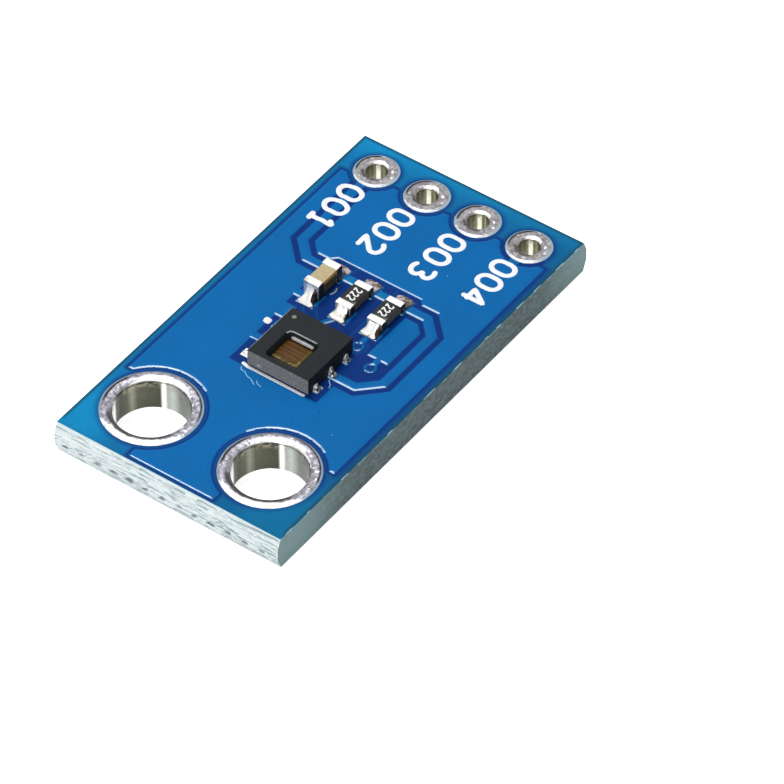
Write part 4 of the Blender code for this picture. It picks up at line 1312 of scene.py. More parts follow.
@dataclass
class PlatedHole:
    """A plated hole with its two rings, domed and uneven where the tin ran."""

    hole: Hole
    sides: int
    outer_run: float
    dark_arcs: Sequence[tuple[float, float, float, float, float]]
    crescents: Sequence[tuple[float, float, float, float]]
    rim_start: float = 0.84
    outer_fall: float = 0.062
    waviness: float = 0.0015
    dimple: float = 0.02
    dimples: int = 0
    seed: int = 1

    def section(self) -> tuple[np.ndarray, np.ndarray]:
        """Works out the ring's section.

        Returns:
            Radius and height of each point round the section, and how far each lies in the bore.
        """
        low, high = box_of(self.hole.node)
        middle = (low.z + high.z) / 2
        bore, ring = self.hole.bore / 2, self.hole.ring
        lip, drop = self.hole.lip_width, self.hole.lip_drop
        top = high.z
        share = np.linspace(1.0, 0.0, 15)
        outer = np.stack([ring - self.outer_run * (1 - share), top - self.outer_fall * share**1.8], axis=1)
        flat_radii = np.linspace(ring - self.outer_run, bore + lip, 7)[1:-1]
        flat = np.stack([flat_radii, np.full(len(flat_radii), top)], axis=1)
        share = share[::-1]
        lip_heights = top - drop * (1 - np.sqrt(1 - share**2 * 0.998))
        inner = np.stack([bore + lip * (1 - share**1.15), lip_heights], axis=1)
        wall_heights = np.linspace(inner[-1, 1], middle, 10)[1:]
        wall = np.stack([np.full(len(wall_heights), bore), wall_heights], axis=1)
        hidden = np.array([[ring - 0.03, top - self.outer_fall - 0.03]])
        upper = np.vstack([hidden, outer, flat, inner, wall])
        on_wall = [np.zeros(1 + len(outer) + len(flat)), ease(share, 0.86, 1.0), np.ones(len(wall))]
        depth = np.concatenate(on_wall)
        lower = upper[-2::-1].copy()
        lower[:, 1] = 2 * middle - lower[:, 1]
        return np.vstack([upper, lower]), np.concatenate([depth, depth[-2::-1]])

    def across(self, radius: np.ndarray) -> np.ndarray:
        """Gives each place's share of the way from the bore to the ring's outer edge."""
        bore = self.hole.bore / 2
        return (radius - bore) / (self.hole.ring - bore)

    def around(self, angle: np.ndarray) -> tuple[np.ndarray, np.ndarray]:
        """Gives the places on the ring's outer edge at some angles, from its axis."""
        return np.cos(angle) * self.hole.ring, np.sin(angle) * self.hole.ring

    def shades(self, angle: np.ndarray, radius: np.ndarray) -> np.ndarray:
        """Gives how dark each place is, from 0 to 1, in the dark arcs of the ring."""
        degrees = np.degrees(angle) % 360
        total = np.zeros(angle.shape)
        for start, end, place, width, depth in self.dark_arcs:
            line = np.exp(-(((self.across(radius) - place) / width) ** 4))
            along = ease(degrees, start, start + 16) * ease(-degrees, -end, -end + 16)
            total = np.maximum(total, depth * along * line)
        return total

    def glint_crescents(self, angle: np.ndarray, radius: np.ndarray) -> np.ndarray:
        """Gives the painted highlight at each place, from 0 to 1, in the ring's smooth crescents."""
        share = self.across(radius)
        wave = Grain(self.seed + 70, 0.5, 0.5).at(*self.around(angle))
        total = np.zeros(angle.shape)
        for middle, half, anchor, width in self.crescents:
            turn = (np.degrees(angle) - middle + 180) % 360 - 180
            taper = np.clip(1 - (turn / half) ** 2, 0.0, 1.0) ** 0.8
            reach = np.abs(share - anchor) / abs(width)
            edge = taper * (1 + 0.08 * wave)
            shown = 1 - ease(reach, edge - 0.26, edge + 0.1)
            shown = shown * ease(np.sign(width) * (share - anchor), -0.06, 0.0) * ease(taper, 0.02, 0.3)
            total = np.maximum(total, shown)
        return total

    def build(self, finish: Material) -> Object:
        """Makes the piece."""
        section, depth = self.section()
        turns = np.linspace(0.0, 2 * math.pi, self.sides, endpoint=False)
        radius = np.broadcast_to(section[None, :, 0], (self.sides, len(section))).copy()
        height = np.broadcast_to(section[None, :, 1], radius.shape).copy()
        angle = np.broadcast_to(turns[:, None], radius.shape)
        low, high = box_of(self.hole.node)
        middle = (low.z + high.z) / 2
        outer_x, outer_y = self.around(angle)
        wave = Grain(self.seed, 0.45, 0.45).at(outer_x + radius, outer_y + height)
        inward = np.clip(wave + 1.0, 0.0, 3.0) * self.waviness
        on_wall = np.broadcast_to(depth[None, :], radius.shape)
        height -= np.sign(height - middle) * inward * (1 - on_wall)
        radius += inward * on_wall * 0.6
        radius += self.dents(angle, height) * on_wall
        x, y = self.hole.centre
        points = np.stack([x + radius * np.cos(angle), y + radius * np.sin(angle), height], axis=-1)
        mesh = mesh_of("ring", points.reshape(-1, 3), grid_faces(*radius.shape, True, True))
        mark_points(mesh, "wall", on_wall)
        mark_points(mesh, "ahead", np.cos(angle))
        mark_points(mesh, "aside", np.sin(angle))
        # The dark arcs are painted shade and the bright crescents a painted highlight.
        mark_points(mesh, "shade", self.shades(angle, radius) * (1 - on_wall))
        mark_points(mesh, "painted_glint", self.glint_crescents(angle, radius) * (1 - on_wall))
        mark_points(mesh, "rim", ease(self.across(radius), self.rim_start, self.rim_start + 0.06))
        shape = shape_of(mesh)
        bmesh.ops.remove_doubles(shape, verts=shape.verts, dist=1e-5)
        bmesh.ops.recalc_face_normals(shape, faces=shape.faces)
        closed_shape(shape, mesh)
        name = self.hole.node.replace("plating", "ring")
        return publish(name, mesh, finish, "tinned", [self.hole.node], 50.0)

    def dents(self, angle: np.ndarray, height: np.ndarray) -> np.ndarray:
        """Gives the depth of small dents in the bore's wall at each place."""
        draw = np.random.default_rng(self.seed)
        total = np.zeros(angle.shape)
        for _ in range(self.dimples):
            turn = math.radians(draw.uniform(95.0, 160.0))
            level = draw.uniform(0.5, 1.4)
            size = draw.uniform(0.05, 0.12)
            far = ((angle - turn) * self.hole.bore / 2) ** 2 + (height - level) ** 2
            total += np.exp(-far / size**2) * self.dimple * draw.choice([-0.6, 1.0])
        return np.maximum(total, -self.dimple)


# Ink and other strokes


def stroke_recipe(finish: Material, width: float, rise: float, sides: int) -> Recipe:
    """Builds the tree that lays a low round-ended stroke along a path.

    Args:
        finish: The stroke's material.
        width: Its width.
        rise: How far it stands above its path.
        sides: How many faces go round it.

    Returns:
        The tree.
    """
    tree = Recipe("stroke")
    half = 0.5 * tree.take("Width", width)
    height, step, count = tree.take("Rise", rise), tree.take("Step", width / 5), tree.take("Sides", sides)
    path = tree.node("GeometryNodeMeshToCurve", None, {0: tree.base})
    path = tree.node("GeometryNodeSetCurveNormal", {"mode": "Z_UP"}, {0: path})
    path = tree.node("GeometryNodeResampleCurve", {"mode": "LENGTH"}, {"Curve": path, "Length": step})
    done = tree.node("GeometryNodeSplineParameter", output="Length")
    from_end = done.least(tree.node("GeometryNodeSplineLength") - done)
    share = (from_end / half).least(1.0)
    taper = tree.maths("SQRT", (1.0 - (1.0 - share) * (1.0 - share)).most(0.01))
    taper = taper.most(tree.node("GeometryNodeInputSplineCyclic"))
    profile = tree.node("GeometryNodeCurvePrimitiveCircle", None, {"Resolution": count, "Radius": 1.0})
    size = tree.node("ShaderNodeCombineXYZ", None, {0: half, 1: height, 2: 1.0})
    profile = tree.node("GeometryNodeTransform", None, {"Geometry": profile, "Scale": size})
    sockets = {"Curve": path, "Profile Curve": profile, "Scale": taper, "Fill Caps": True}
    tree.serve(tree.node("GeometryNodeCurveToMesh", None, sockets), finish)
    return tree


def button(middle: Sequence[float], width: float, rise: float, corners: float = 0.55) -> Mesh:
    """Makes a low cushion, nearly square with very round corners.

    Args:
        middle: Its middle, with a height where it has one.
        width: Its width.
        rise: How far it stands up.
        corners: How round it is: 1 is a disc, and less is squarer.

    Returns:
        The mesh.
    """
    shape = shape_of()
    bmesh.ops.create_uvsphere(shape, u_segments=32, v_segments=10, radius=1.0)
    for point in shape.verts:
        along, up = point.co.xy, point.co.z
        square = max(abs(along.x), abs(along.y), 1e-6)
        stretch = (along.length / square) ** (1 - corners)
        point.co.xy = along * (stretch * width / 2)
        point.co.z = up * rise
    bmesh.ops.translate(shape, vec=(*middle, 0.0)[:3], verts=shape.verts)
    return closed_shape(shape)


class Strokes:
    """Draws strokes of ink or metal along paths, and lays them on a surface."""

    def __init__(self, under: BVHTree, top: float) -> None:
        """Keeps the surface that they lie on.

        Args:
            under: The surface, in millimetres.
            top: A level above it all.
        """
        self.under = under
        self.top = top

    def draw(
        self,
        paths: Sequence[Sequence[Sequence[float]]],
        width: float,
        rise: float,
        finish: Material,
        laid: bool = True,
        sides: int = 12,
    ) -> Mesh:
        """Draws strokes.

        Args:
            paths: Points of each path. One that ends where it starts is closed.
            width: The strokes' width.
            rise: How far they stand above their paths.
            finish: Their material.
            laid: Whether they are laid on the surface.
            sides: How many faces go round a stroke.

        Returns:
            The strokes' mesh.
        """
        points: list[Sequence[float]] = []
        edges: list[tuple[int, int]] = []
        for path in paths:
            start = len(points)
            closed = tuple(path[0]) == tuple(path[-1])
            body = path[:-1] if closed else path
            points += [(*point, 0.0)[:3] for point in body]
            edges += [(start + place, start + place + 1) for place in range(len(body) - 1)]
            if closed:
                edges.append((start + len(body) - 1, start))
        base = bpy.data.meshes.new("paths")
        base.from_pydata(points, edges, [])
        mesh = stroke_recipe(finish, width, rise, sides).run(base)
        if laid:
            self.lay(mesh)
        return mesh

    def lay(self, mesh: Mesh) -> None:
        """Lifts every point of a mesh by the height of the surface under it."""
        down = Vector((0.0, 0.0, -1.0))
        for point in mesh.vertices:
            start = Vector((point.co.x, point.co.y, self.top))
            hit = self.under.ray_cast(start, down)[0]
            point.co.z += hit.z if hit else 0.0


BOW_STEP = 22.5


def bow(middle: Point, radii: Point, start: float, end: float) -> list[Point]:
    """Gives points along an ellipse, from one turn to another in degrees."""
    count = max(2, round(abs(end - start) / BOW_STEP) + 1)
    turns = [math.radians(start + (end - start) * place / (count - 1)) for place in range(count)]
    return [(middle[0] + radii[0] * math.cos(turn), middle[1] + radii[1] * math.sin(turn)) for turn in turns]


ZERO = bow((0.5, 0.64), (0.5, 0.36), 0, 180) + bow((0.5, 0.36), (0.5, 0.36), 180, 360)
GLYPHS = {
    "0": [ZERO + ZERO[:1]],
    "1": [[(0.14, 0.76), (0.5, 1), (0.5, 0)], [(0.12, 0), (0.88, 0)]],
    "2": [bow((0.5, 0.72), (0.5, 0.28), 165, -30) + [(0, 0), (1, 0)]],
    "3": [
        bow((0.5, 0.77), (0.46, 0.23), 150, -90),
        bow((0.5, 0.27), (0.5, 0.27), 90, -150),
    ],
    "4": [[(0.74, 0), (0.74, 1), (0, 0.3), (1, 0.3)]],
}


def written(text: str, place: Callable[[float, float], Point], advance: float) -> list[list[Point]]:
    """Writes plain numbers as paths.

    Args:
        text: The digits.
        place: Turns a place in the line, one glyph wide and high, into a place on the module.
        advance: From one glyph to the next, in glyph widths.

    Returns:
        The paths.
    """
    paths = []
    for number, digit in enumerate(text):
        for path in GLYPHS[digit]:
            paths.append([place(across + number * advance, up) for across, up in path])
    return paths


@dataclass
class Print:
    """The white print: pin numbers, the mark at the first contact and the line before the sensor."""

    strokes: Strokes
    glyph_width: float = 0.68
    glyph_height: float = 1.03
    advance: float = 1.0
    stroke: float = 0.225
    rise: float = 0.02
    column_shift: float = -0.1
    start_drop: float = 1.33
    dot: Point = (-2.17, -0.85)
    dot_width: float = 0.33
    line_width: float = 0.155
    line_gap: float = 0.085

    def pin_numbers(self) -> list[list[Point]]:
        """Lays out the pins' numbers, read towards -Y with their tops towards +X."""
        paths = []
        for number, net in enumerate(("supply", "data", "clock", "ground")):
            pin = middle_of(f"pin_plating_{net}")
            foot = pin.x + self.column_shift - self.glyph_height / 2
            start = pin.y - self.start_drop

            def place(across: float, up: float, foot: float = foot, start: float = start) -> Point:
                """Turns a place in the number into one on the board."""
                return foot + up * self.glyph_height, start - across * self.glyph_width

            paths += written(f"00{number + 1}", place, self.advance / self.glyph_width)
        return paths

    def build(self, ink: Material) -> None:
        """Makes the pieces of the print."""
        numbers = self.strokes.draw(self.pin_numbers(), self.stroke, self.rise, ink)
        publish("pin_numbers", numbers, ink, "coated_copper")
        dot = button(self.dot, self.dot_width, 2.5 * self.rise)
        self.strokes.lay(dot)
        publish("contact_mark", dot, ink, "coated_copper")
        low, high = box_of("sensor_body")
        front = low.y - self.line_gap
        line = [[(low.x - 0.26, front + 0.09), (low.x + 0.1, front + 0.015), (high.x - 0.1, front)]]
        stroke = self.strokes.draw(line, self.line_width, self.rise, ink)
        publish("sensor_line", stroke, ink, "coated_copper")


# Solder and parts


MASS_CELL = 0.02
MASS_SMOOTHING = 3
Lumps = Sequence[tuple[Sequence[float], Sequence[float]]]


def solder_mass(lumps: Lumps, seed: int) -> Mesh:
    """Melts round lumps into one smooth mass.

    Args:
        lumps: The middle and the three radii of each lump.
        seed: Fixes its unevenness.

    Returns:
        The mass.
    """
    shape = shape_of()
    for middle, radii in lumps:
        made = bmesh.ops.create_icosphere(shape, subdivisions=3, radius=1.0)["verts"]
        bmesh.ops.scale(shape, vec=radii, verts=made)
        bmesh.ops.translate(shape, vec=middle, verts=made)
    holder = hold("mass", closed_shape(shape))
    modify(holder, "REMESH", mode="VOXEL", voxel_size=MASS_CELL)
    modify(holder, "SMOOTH", factor=0.5, iterations=MASS_SMOOTHING)
    mass = finished(holder)
    roughen(mass, 0.006, 0.22, seed)
    return mass


@dataclass
class Fillet:
    """The solder that runs from a part's end band down to its land and widens there."""

    x: float
    start: float
    reach: float
    half: float
    foot: float
    rise: float
    neck: float = 0.16
    flare: float = 0.22
    toe: float = 0.06
    rows: int = 34
    columns: int = 41
    seed: int = 1

    def build(self) -> Mesh:
        """Makes the mesh, closed by a flat underside."""
        turns = np.sin(np.linspace(-1.0, 1.0, self.columns) * math.pi / 2)
        turn, down = np.meshgrid(turns, np.linspace(0.0, 1.0, self.rows))
        y = self.start + self.reach * down
        wave = Grain(self.seed, 0.5, 0.4)
        half = 1 - self.neck * np.sin(math.pi * np.clip(down * 1.2, 0, 1)) + self.flare * down**2
        half = half * self.half * (1 - 0.42 * ease(down, 0.74, 1.0) ** 2) * (1 + 0.05 * wave.at(turn, y))
        fall = self.rise * (1 - down) ** 1.8 + self.toe * np.sqrt(1 - down**8)
        height = fall * (1 - np.abs(turn) ** 3.4) ** 0.6 * (1 + 0.07 * wave.at(turn * 0.3 + 5, y))
        points = np.stack([self.x + turn * half, y, self.foot + height], axis=-1)
        points[-1, :, 2] = self.foot
        back = points[:1].copy()
        back[..., 2] = self.foot
        back[..., 1] -= math.copysign(0.004, self.reach)
        shape = shape_of()
        add_grid(shape, np.concatenate([back, points]))
        bmesh.ops.remove_doubles(shape, verts=shape.verts, dist=1e-5)
        fill(shape, [edge for edge in shape.edges if edge.is_boundary])
        return closed_shape(shape)


class PartKind(Enum):
    """The two kinds of two-ended part."""

    CAPACITOR = "capacitor"
    RESISTOR = "resistor"


@dataclass
class ChipPart:
    """A two-ended part: its body, its two end bands and the solder that holds it."""

    kind: PartKind
    name: str
    ends: tuple[str, str]
    palette: Palette
    strokes: Strokes
    seed: int
    spread: float = 0.06
    glyph_width: float = 0.16
    glyph_height: float = 0.34
    glyph_advance: float = 1.55
    glyph_stroke: float = 0.068

    def body(self) -> None:
        """Makes the body."""
        low, high = box_of(f"{self.name}_body")
        mesh = refine(rounded_block(low, high, 0.03), 2)
        roughen(mesh, 0.002, 0.3, self.seed)
        if self.kind is PartKind.CAPACITOR:
            finishes, slot = [self.palette.tan, self.palette.tan_shaded_side, self.palette.tan_shaded_band], "ceramic"
        else:
            finishes, slot = [self.palette.alumina, self.palette.alumina_shaded_side], "alumina"
        # Faces towards ±X get the darker side finishes, and on the capacitor the band at the top of them a
        # third one: painted shade.
        for face in mesh.polygons:
            strip = self.kind is PartKind.CAPACITOR and face.center.z > high.z - 0.19
            face.material_index = (2 if strip else 1) if abs(face.normal.x) > 0.6 else 0
        publish(f"{self.name}_block", mesh, finishes, slot, [f"{self.name}_body"])

    def glaze(self) -> None:
        """Makes a resistor's glaze with its plain number."""
        low, high = box_of(f"{self.name}_glaze")
        grow = Vector((0.03, 0.02, 0.0))
        mesh = refine(rounded_block(low - grow, high + grow, 0.012, 2), 2)
        publish(f"{self.name}_coat", mesh, self.palette.glaze, "glaze", [f"{self.name}_glaze"])
        middle = (low + high) / 2
        half = self.glyph_advance + 0.5

        def place(across: float, up: float) -> Point:
            """Turns a place in the number into one on the glaze."""
            return middle.x + (up - 0.5) * self.glyph_height, middle.y + (half - across) * self.glyph_width

        paths = [[(x, y, high.z) for x, y in path] for path in written("222", place, self.glyph_advance)]
        mesh = self.strokes.draw(paths, self.glyph_stroke, 0.012, self.palette.ink, laid=False, sides=8)
        publish(f"{self.name}_number", mesh, self.palette.ink, "alumina")

    def band(self, end: str) -> None:
        """Makes one end band."""
        node = f"{self.name}_cap_{end}"
        low, high = box_of(node)
        mesh = refine(rounded_block(low, high, 0.06, 3), 2)
        roughen(mesh, 0.005, 0.3, self.seed + 3)
        mark_turned(mesh)
        publish(f"{self.name}_band_{end}", mesh, self.palette.band, "tinned", [node])

    def joint(self, end: str, sign: int) -> None:
        """Makes the solder at one end.

        Args:
            end: The name of the net at that end.
            sign: -1 for the end towards -Y, 1 for the other.
        """
        node = f"{self.name}_joint_{end}"
        low, high = box_of(node)
        near, far = (high.y, low.y) if sign < 0 else (low.y, high.y)
        front = sign < 0
        mesh = Fillet(
            (low.x + high.x) / 2,
            near - sign * 0.02,
            far - near + sign * self.spread,
            (high.x - low.x) / 2,
            low.z,
            (high.z - low.z) * (0.96 if front else 0.5),
            neck=0.3 if front and self.kind is PartKind.CAPACITOR else 0.07,
            flare=0.17 if front else 0.1,
            toe=0.085,
            seed=self.seed + sign,
        ).build()
        mark_turned(mesh)
        # The joints at the +Y end get the darker copy of the solder: painted shade.
        finish = self.palette.solder if front else self.palette.dark_solder
        publish(f"{self.name}_solder_{end}", mesh, finish, "solder", [node])

    def build(self) -> None:
        """Makes every piece of the part."""
        self.body()
        if self.kind is PartKind.RESISTOR:
            self.glaze()
        for end, sign in zip(self.ends, (-1, 1)):
            self.band(end)
            self.joint(end, sign)


@dataclass
class SensorPackage:
    """The square sensor: its moulding with a window, the film inside it and its feet."""

    palette: Palette
    strokes: Strokes
    edge: float = 0.035
    window_low: Point = (-0.66, -3.1)
    window_high: Point = (0.88, -1.42)
    window_corner: float = 0.2
    window_depth: float = 0.5
    film_low: Point = (-0.59, -2.72)
    film_high: Point = (0.64, -1.58)
    line_count: int = 5
    dot_inset: float = 0.4
    tie_places: tuple[Point, ...] = ((-0.77, 0.08), (0.93, 0.075))
    tie_height: float = 0.2
    tie_share: float = 0.6
    dot_width: float = 0.19
    bulks: tuple[float, ...] = (0.45, 0.4, 1.0, 0.95, 1.35, 0.95)
    seed: int = 21

    def __post_init__(self) -> None:
        """Reads the package's corners."""
        self.low, self.high = box_of("sensor_body")

    def outline(self, low: Point, high: Point, corner: float, steps: int = 8) -> list[Point]:
        """Gives the points round a rectangle whose corners are round, in so many steps."""
        left, right = low[0] + corner, high[0] - corner
        near, far = low[1] + corner, high[1] - corner
        points = []
        for quarter, (x, y) in enumerate(((right, far), (left, far), (left, near), (right, near))):
            for step in range(steps + 1):
                turn = math.radians(90 * (quarter + step / steps))
                points.append((x + corner * math.cos(turn), y + corner * math.sin(turn)))
        return points

    def prism(self, points: Sequence[Point], low: float, high: float) -> Mesh:
        """Makes an upright prism on an outline, between two levels."""
        count = len(points)
        corners = [(*point, level) for level in (low, high) for point in points]
        ahead = [(place + 1) % count for place in range(count)]
        faces = [(place, after, after + count, place + count) for place, after in enumerate(ahead)]
        faces += [tuple(range(count))[::-1], tuple(range(count, 2 * count))]
        return mesh_of("prism", corners, faces)

    def moulding(self) -> None:
        """Makes the moulding, with its window cut and every edge broken."""
        footprint = self.outline(self.low[:2], self.high[:2], 0.03, 3)
        body = hold("body", self.prism(footprint, self.low.z, self.high.z))
        opening = self.outline(self.window_low, self.window_high, self.window_corner)
        cutter = hold("window", self.prism(opening, self.high.z - self.window_depth, self.high.z + 1.0))
        modify(body, "BOOLEAN", operation="DIFFERENCE", solver="EXACT", object=cutter)
        modify(body, "BEVEL", width=self.edge, segments=3, limit_method="ANGLE", angle_limit=math.radians(60))
        mesh = finished(body)
        bpy.data.objects.remove(cutter)
        for face in mesh.polygons:
            middle = face.center
            outside = min(*(middle - self.low).xy, *(self.high - middle).xy)
            upright = abs(face.normal.z) < 0.5 and outside < 0.02
            # Faces towards ±Y get the lighter sawn finish and faces towards ±X the dark one: painted light
            # and painted shade.
            face.material_index = (1 if abs(face.normal.y) > 0.5 else 2) if upright else 0
            # The left top edge gets a pale finish: a painted highlight.
            if middle.x - self.low.x < self.edge and face.normal.x < -0.1 and face.normal.z > 0.3:
                face.material_index = 3
        finishes = [self.palette.moulding, self.palette.sawn_lit_face, self.palette.shaded_side, self.palette.edge_glint]
        publish("sensor_moulding", mesh, finishes, "moulding", ["sensor_body"])
        spot = (self.low.x + self.dot_inset, self.high.y - self.dot_inset, self.high.z)
        dot = button(spot, self.dot_width, 0.008, 1.0)
        publish("contact_one_dot", dot, self.palette.sawn_lit_face, "moulding")

    def tie_bars(self) -> None:
        """Makes the cut ends of the frame's two tie bars, low on the front face."""
        level = self.low.z + self.tie_height
        for number, (middle, half) in enumerate(self.tie_places):
            tall = self.tie_share * half
            low = Vector((middle - half, self.low.y - 0.01, level - tall))
            high = Vector((middle + half, self.low.y + 0.03, level + tall))
            bar = rounded_block(low, high, 0.014, 2)
            publish(f"tie_bar_{number + 1}", bar, self.palette.foot_solder, "tinned")

    def window(self) -> None:
        """Makes what shows in the window: the film, its lines and the pale beads along its far wall, which
        are painted highlights.
        """
        node_low, node_high = box_of("sensing_film")
        low = Vector((*self.film_low, node_low.z))
        high = Vector((*self.film_high, node_high.z))
        mesh = refine(rounded_block(low, high, 0.012, 2), 4)
        points = points_of(mesh)
        inset = np.minimum(high.x - points[:, 0], points[:, 1] - low.y)
        mark_points(mesh, "rim", 1.0 - ease(inset, 0.02, 0.22))
        publish("amber_film", mesh, self.palette.film, "film", ["sensing_film"])
        self.film_lines(low, high)
        top = self.high.z
        left, right = self.window_low[0], self.window_high[0]
        far = self.window_high[1]
        start = [(left + 0.02, far - 0.22), (left + 0.09, far - 0.05), (left + 0.25, far)]
        outer = [*start, (right - 0.16, far)]
        inner = [(left + 0.17, far - 0.08), (right - 0.36, far - 0.08), (right - 0.26, far - 0.13)]
        # Pale beads along the window's far wall: painted highlights.
        beads = (
            ("outer", outer, 0.02, 0.068, self.palette.dull_glint_bead),
            ("inner", inner, 0.27, 0.18, self.palette.bead),
        )
        for name, path, drop, width, finish in beads:
            path = [(x, y, top - drop) for x, y in path]
            mesh = self.strokes.draw([path], width, width * 0.4, finish, laid=False)
            publish(f"window_bead_{name}", mesh, finish, "moulding")

    def film_lines(self, low: Vector, high: Vector) -> None:
        """Makes the fine lines across the film, repeated by a geometry tree."""
        pitch = (high.y - low.y) / (self.line_count + 1)
        start = ((low.x + high.x) / 2, low.y + pitch, high.z)
        tree = Recipe("film_lines")
        offset = tree.node("ShaderNodeCombineXYZ", None, {1: tree.take("Pitch", pitch)})
        sockets = {"Count": tree.take("Count", self.line_count), "Start Location": tree.take("Start", start)}
        rows = tree.node("GeometryNodeMeshLine", None, {**sockets, "Offset": offset})
        size = tree.take("Size", ((high.x - low.x) * 0.9, 0.014, 0.01))
        sockets = {"Points": rows, "Instance": tree.node("GeometryNodeMeshCube", None, {"Size": size})}
        tree.serve(tree.node("GeometryNodeInstanceOnPoints", None, sockets), self.palette.gold)
        publish("film_lines", tree.run(), self.palette.gold, "film")

    def feet(self) -> None:
        """Makes the solder at the six contacts."""
        for number in range(1, 7):
            node = f"sensor_joint_{number}"
            low, high = box_of(node)
            contact_low, contact_high = box_of(f"sensor_contact_{number}")
            sign = 1 if low.x > 0 else -1
            inner, outer = (contact_high.x, high.x) if sign > 0 else (contact_low.x, low.x)
            y, foot = (low.y + high.y) / 2, low.z
            draw = np.random.default_rng(self.seed + number)
            bulk = self.bulks[number - 1]
            reach = max(abs(outer - inner), 0.12) * bulk
            tall = (0.2 + 0.08 * draw.random()) * bulk
            aside = draw.uniform(-0.08, 0.08)
            lumps = (
                ((inner + sign * 0.02, y, foot + tall * 0.45), (0.1, 0.14, tall * 0.8)),
                ((inner + sign * reach * 0.45, y, foot), (reach * 0.55 + 0.04, 0.16, 0.1 * bulk)),
                ((inner + sign * 0.08, y + aside, foot + 0.1 * bulk), (0.1, 0.1, 0.13 * bulk)),
            )
            mesh = solder_mass(lumps, self.seed + number)
            mark_turned(mesh)
            publish(f"sensor_solder_{number}", mesh, self.palette.foot_solder, "solder", [node])

    def build(self) -> None:
        """Makes every piece of the package."""
        self.moulding()
        self.tie_bars()
        self.window()
        self.feet()


@dataclass
class Residue:
    """Dried flux: a few thin strands left on the mask."""

    strokes: Strokes
    strands: Sequence[Sequence[Point]] = (
        ((-1.45, -3.56), (-1.35, -3.7), (-1.12, -3.74), (-0.93, -3.87), (-0.7, -3.92), (-0.41, -4.1)),
        ((-0.47, -3.86), (-0.34, -3.98), (-0.12, -4.03)),
        ((1.78, -1.95), (1.84, -2.18), (2.0, -2.3), (2.08, -2.5)),
    )
    # A pale arc beside the capacitor: a painted highlight of a via's rim.
    bead: Sequence[Point] = ((-1.05, 2.28), (-0.96, 2.1), (-0.98, 1.94), (-1.06, 1.82))
    strand_size: Point = (0.045, 0.012)
    bead_size: Point = (0.06, 0.03)

    def build(self, palette: Palette) -> None:
        """Makes the strands, and the pale arc beside the capacitor that is a painted highlight of a via's
        rim.
        """
        strands = self.strokes.draw(self.strands, *self.strand_size, palette.flux, sides=8)
        publish("flux_strands", strands, palette.flux, "solder")
        bead = self.strokes.draw([self.bead], *self.bead_size, palette.bead, sides=8)
        publish("flux_bead", bead, palette.bead, "solder")


# Light, floor and camera


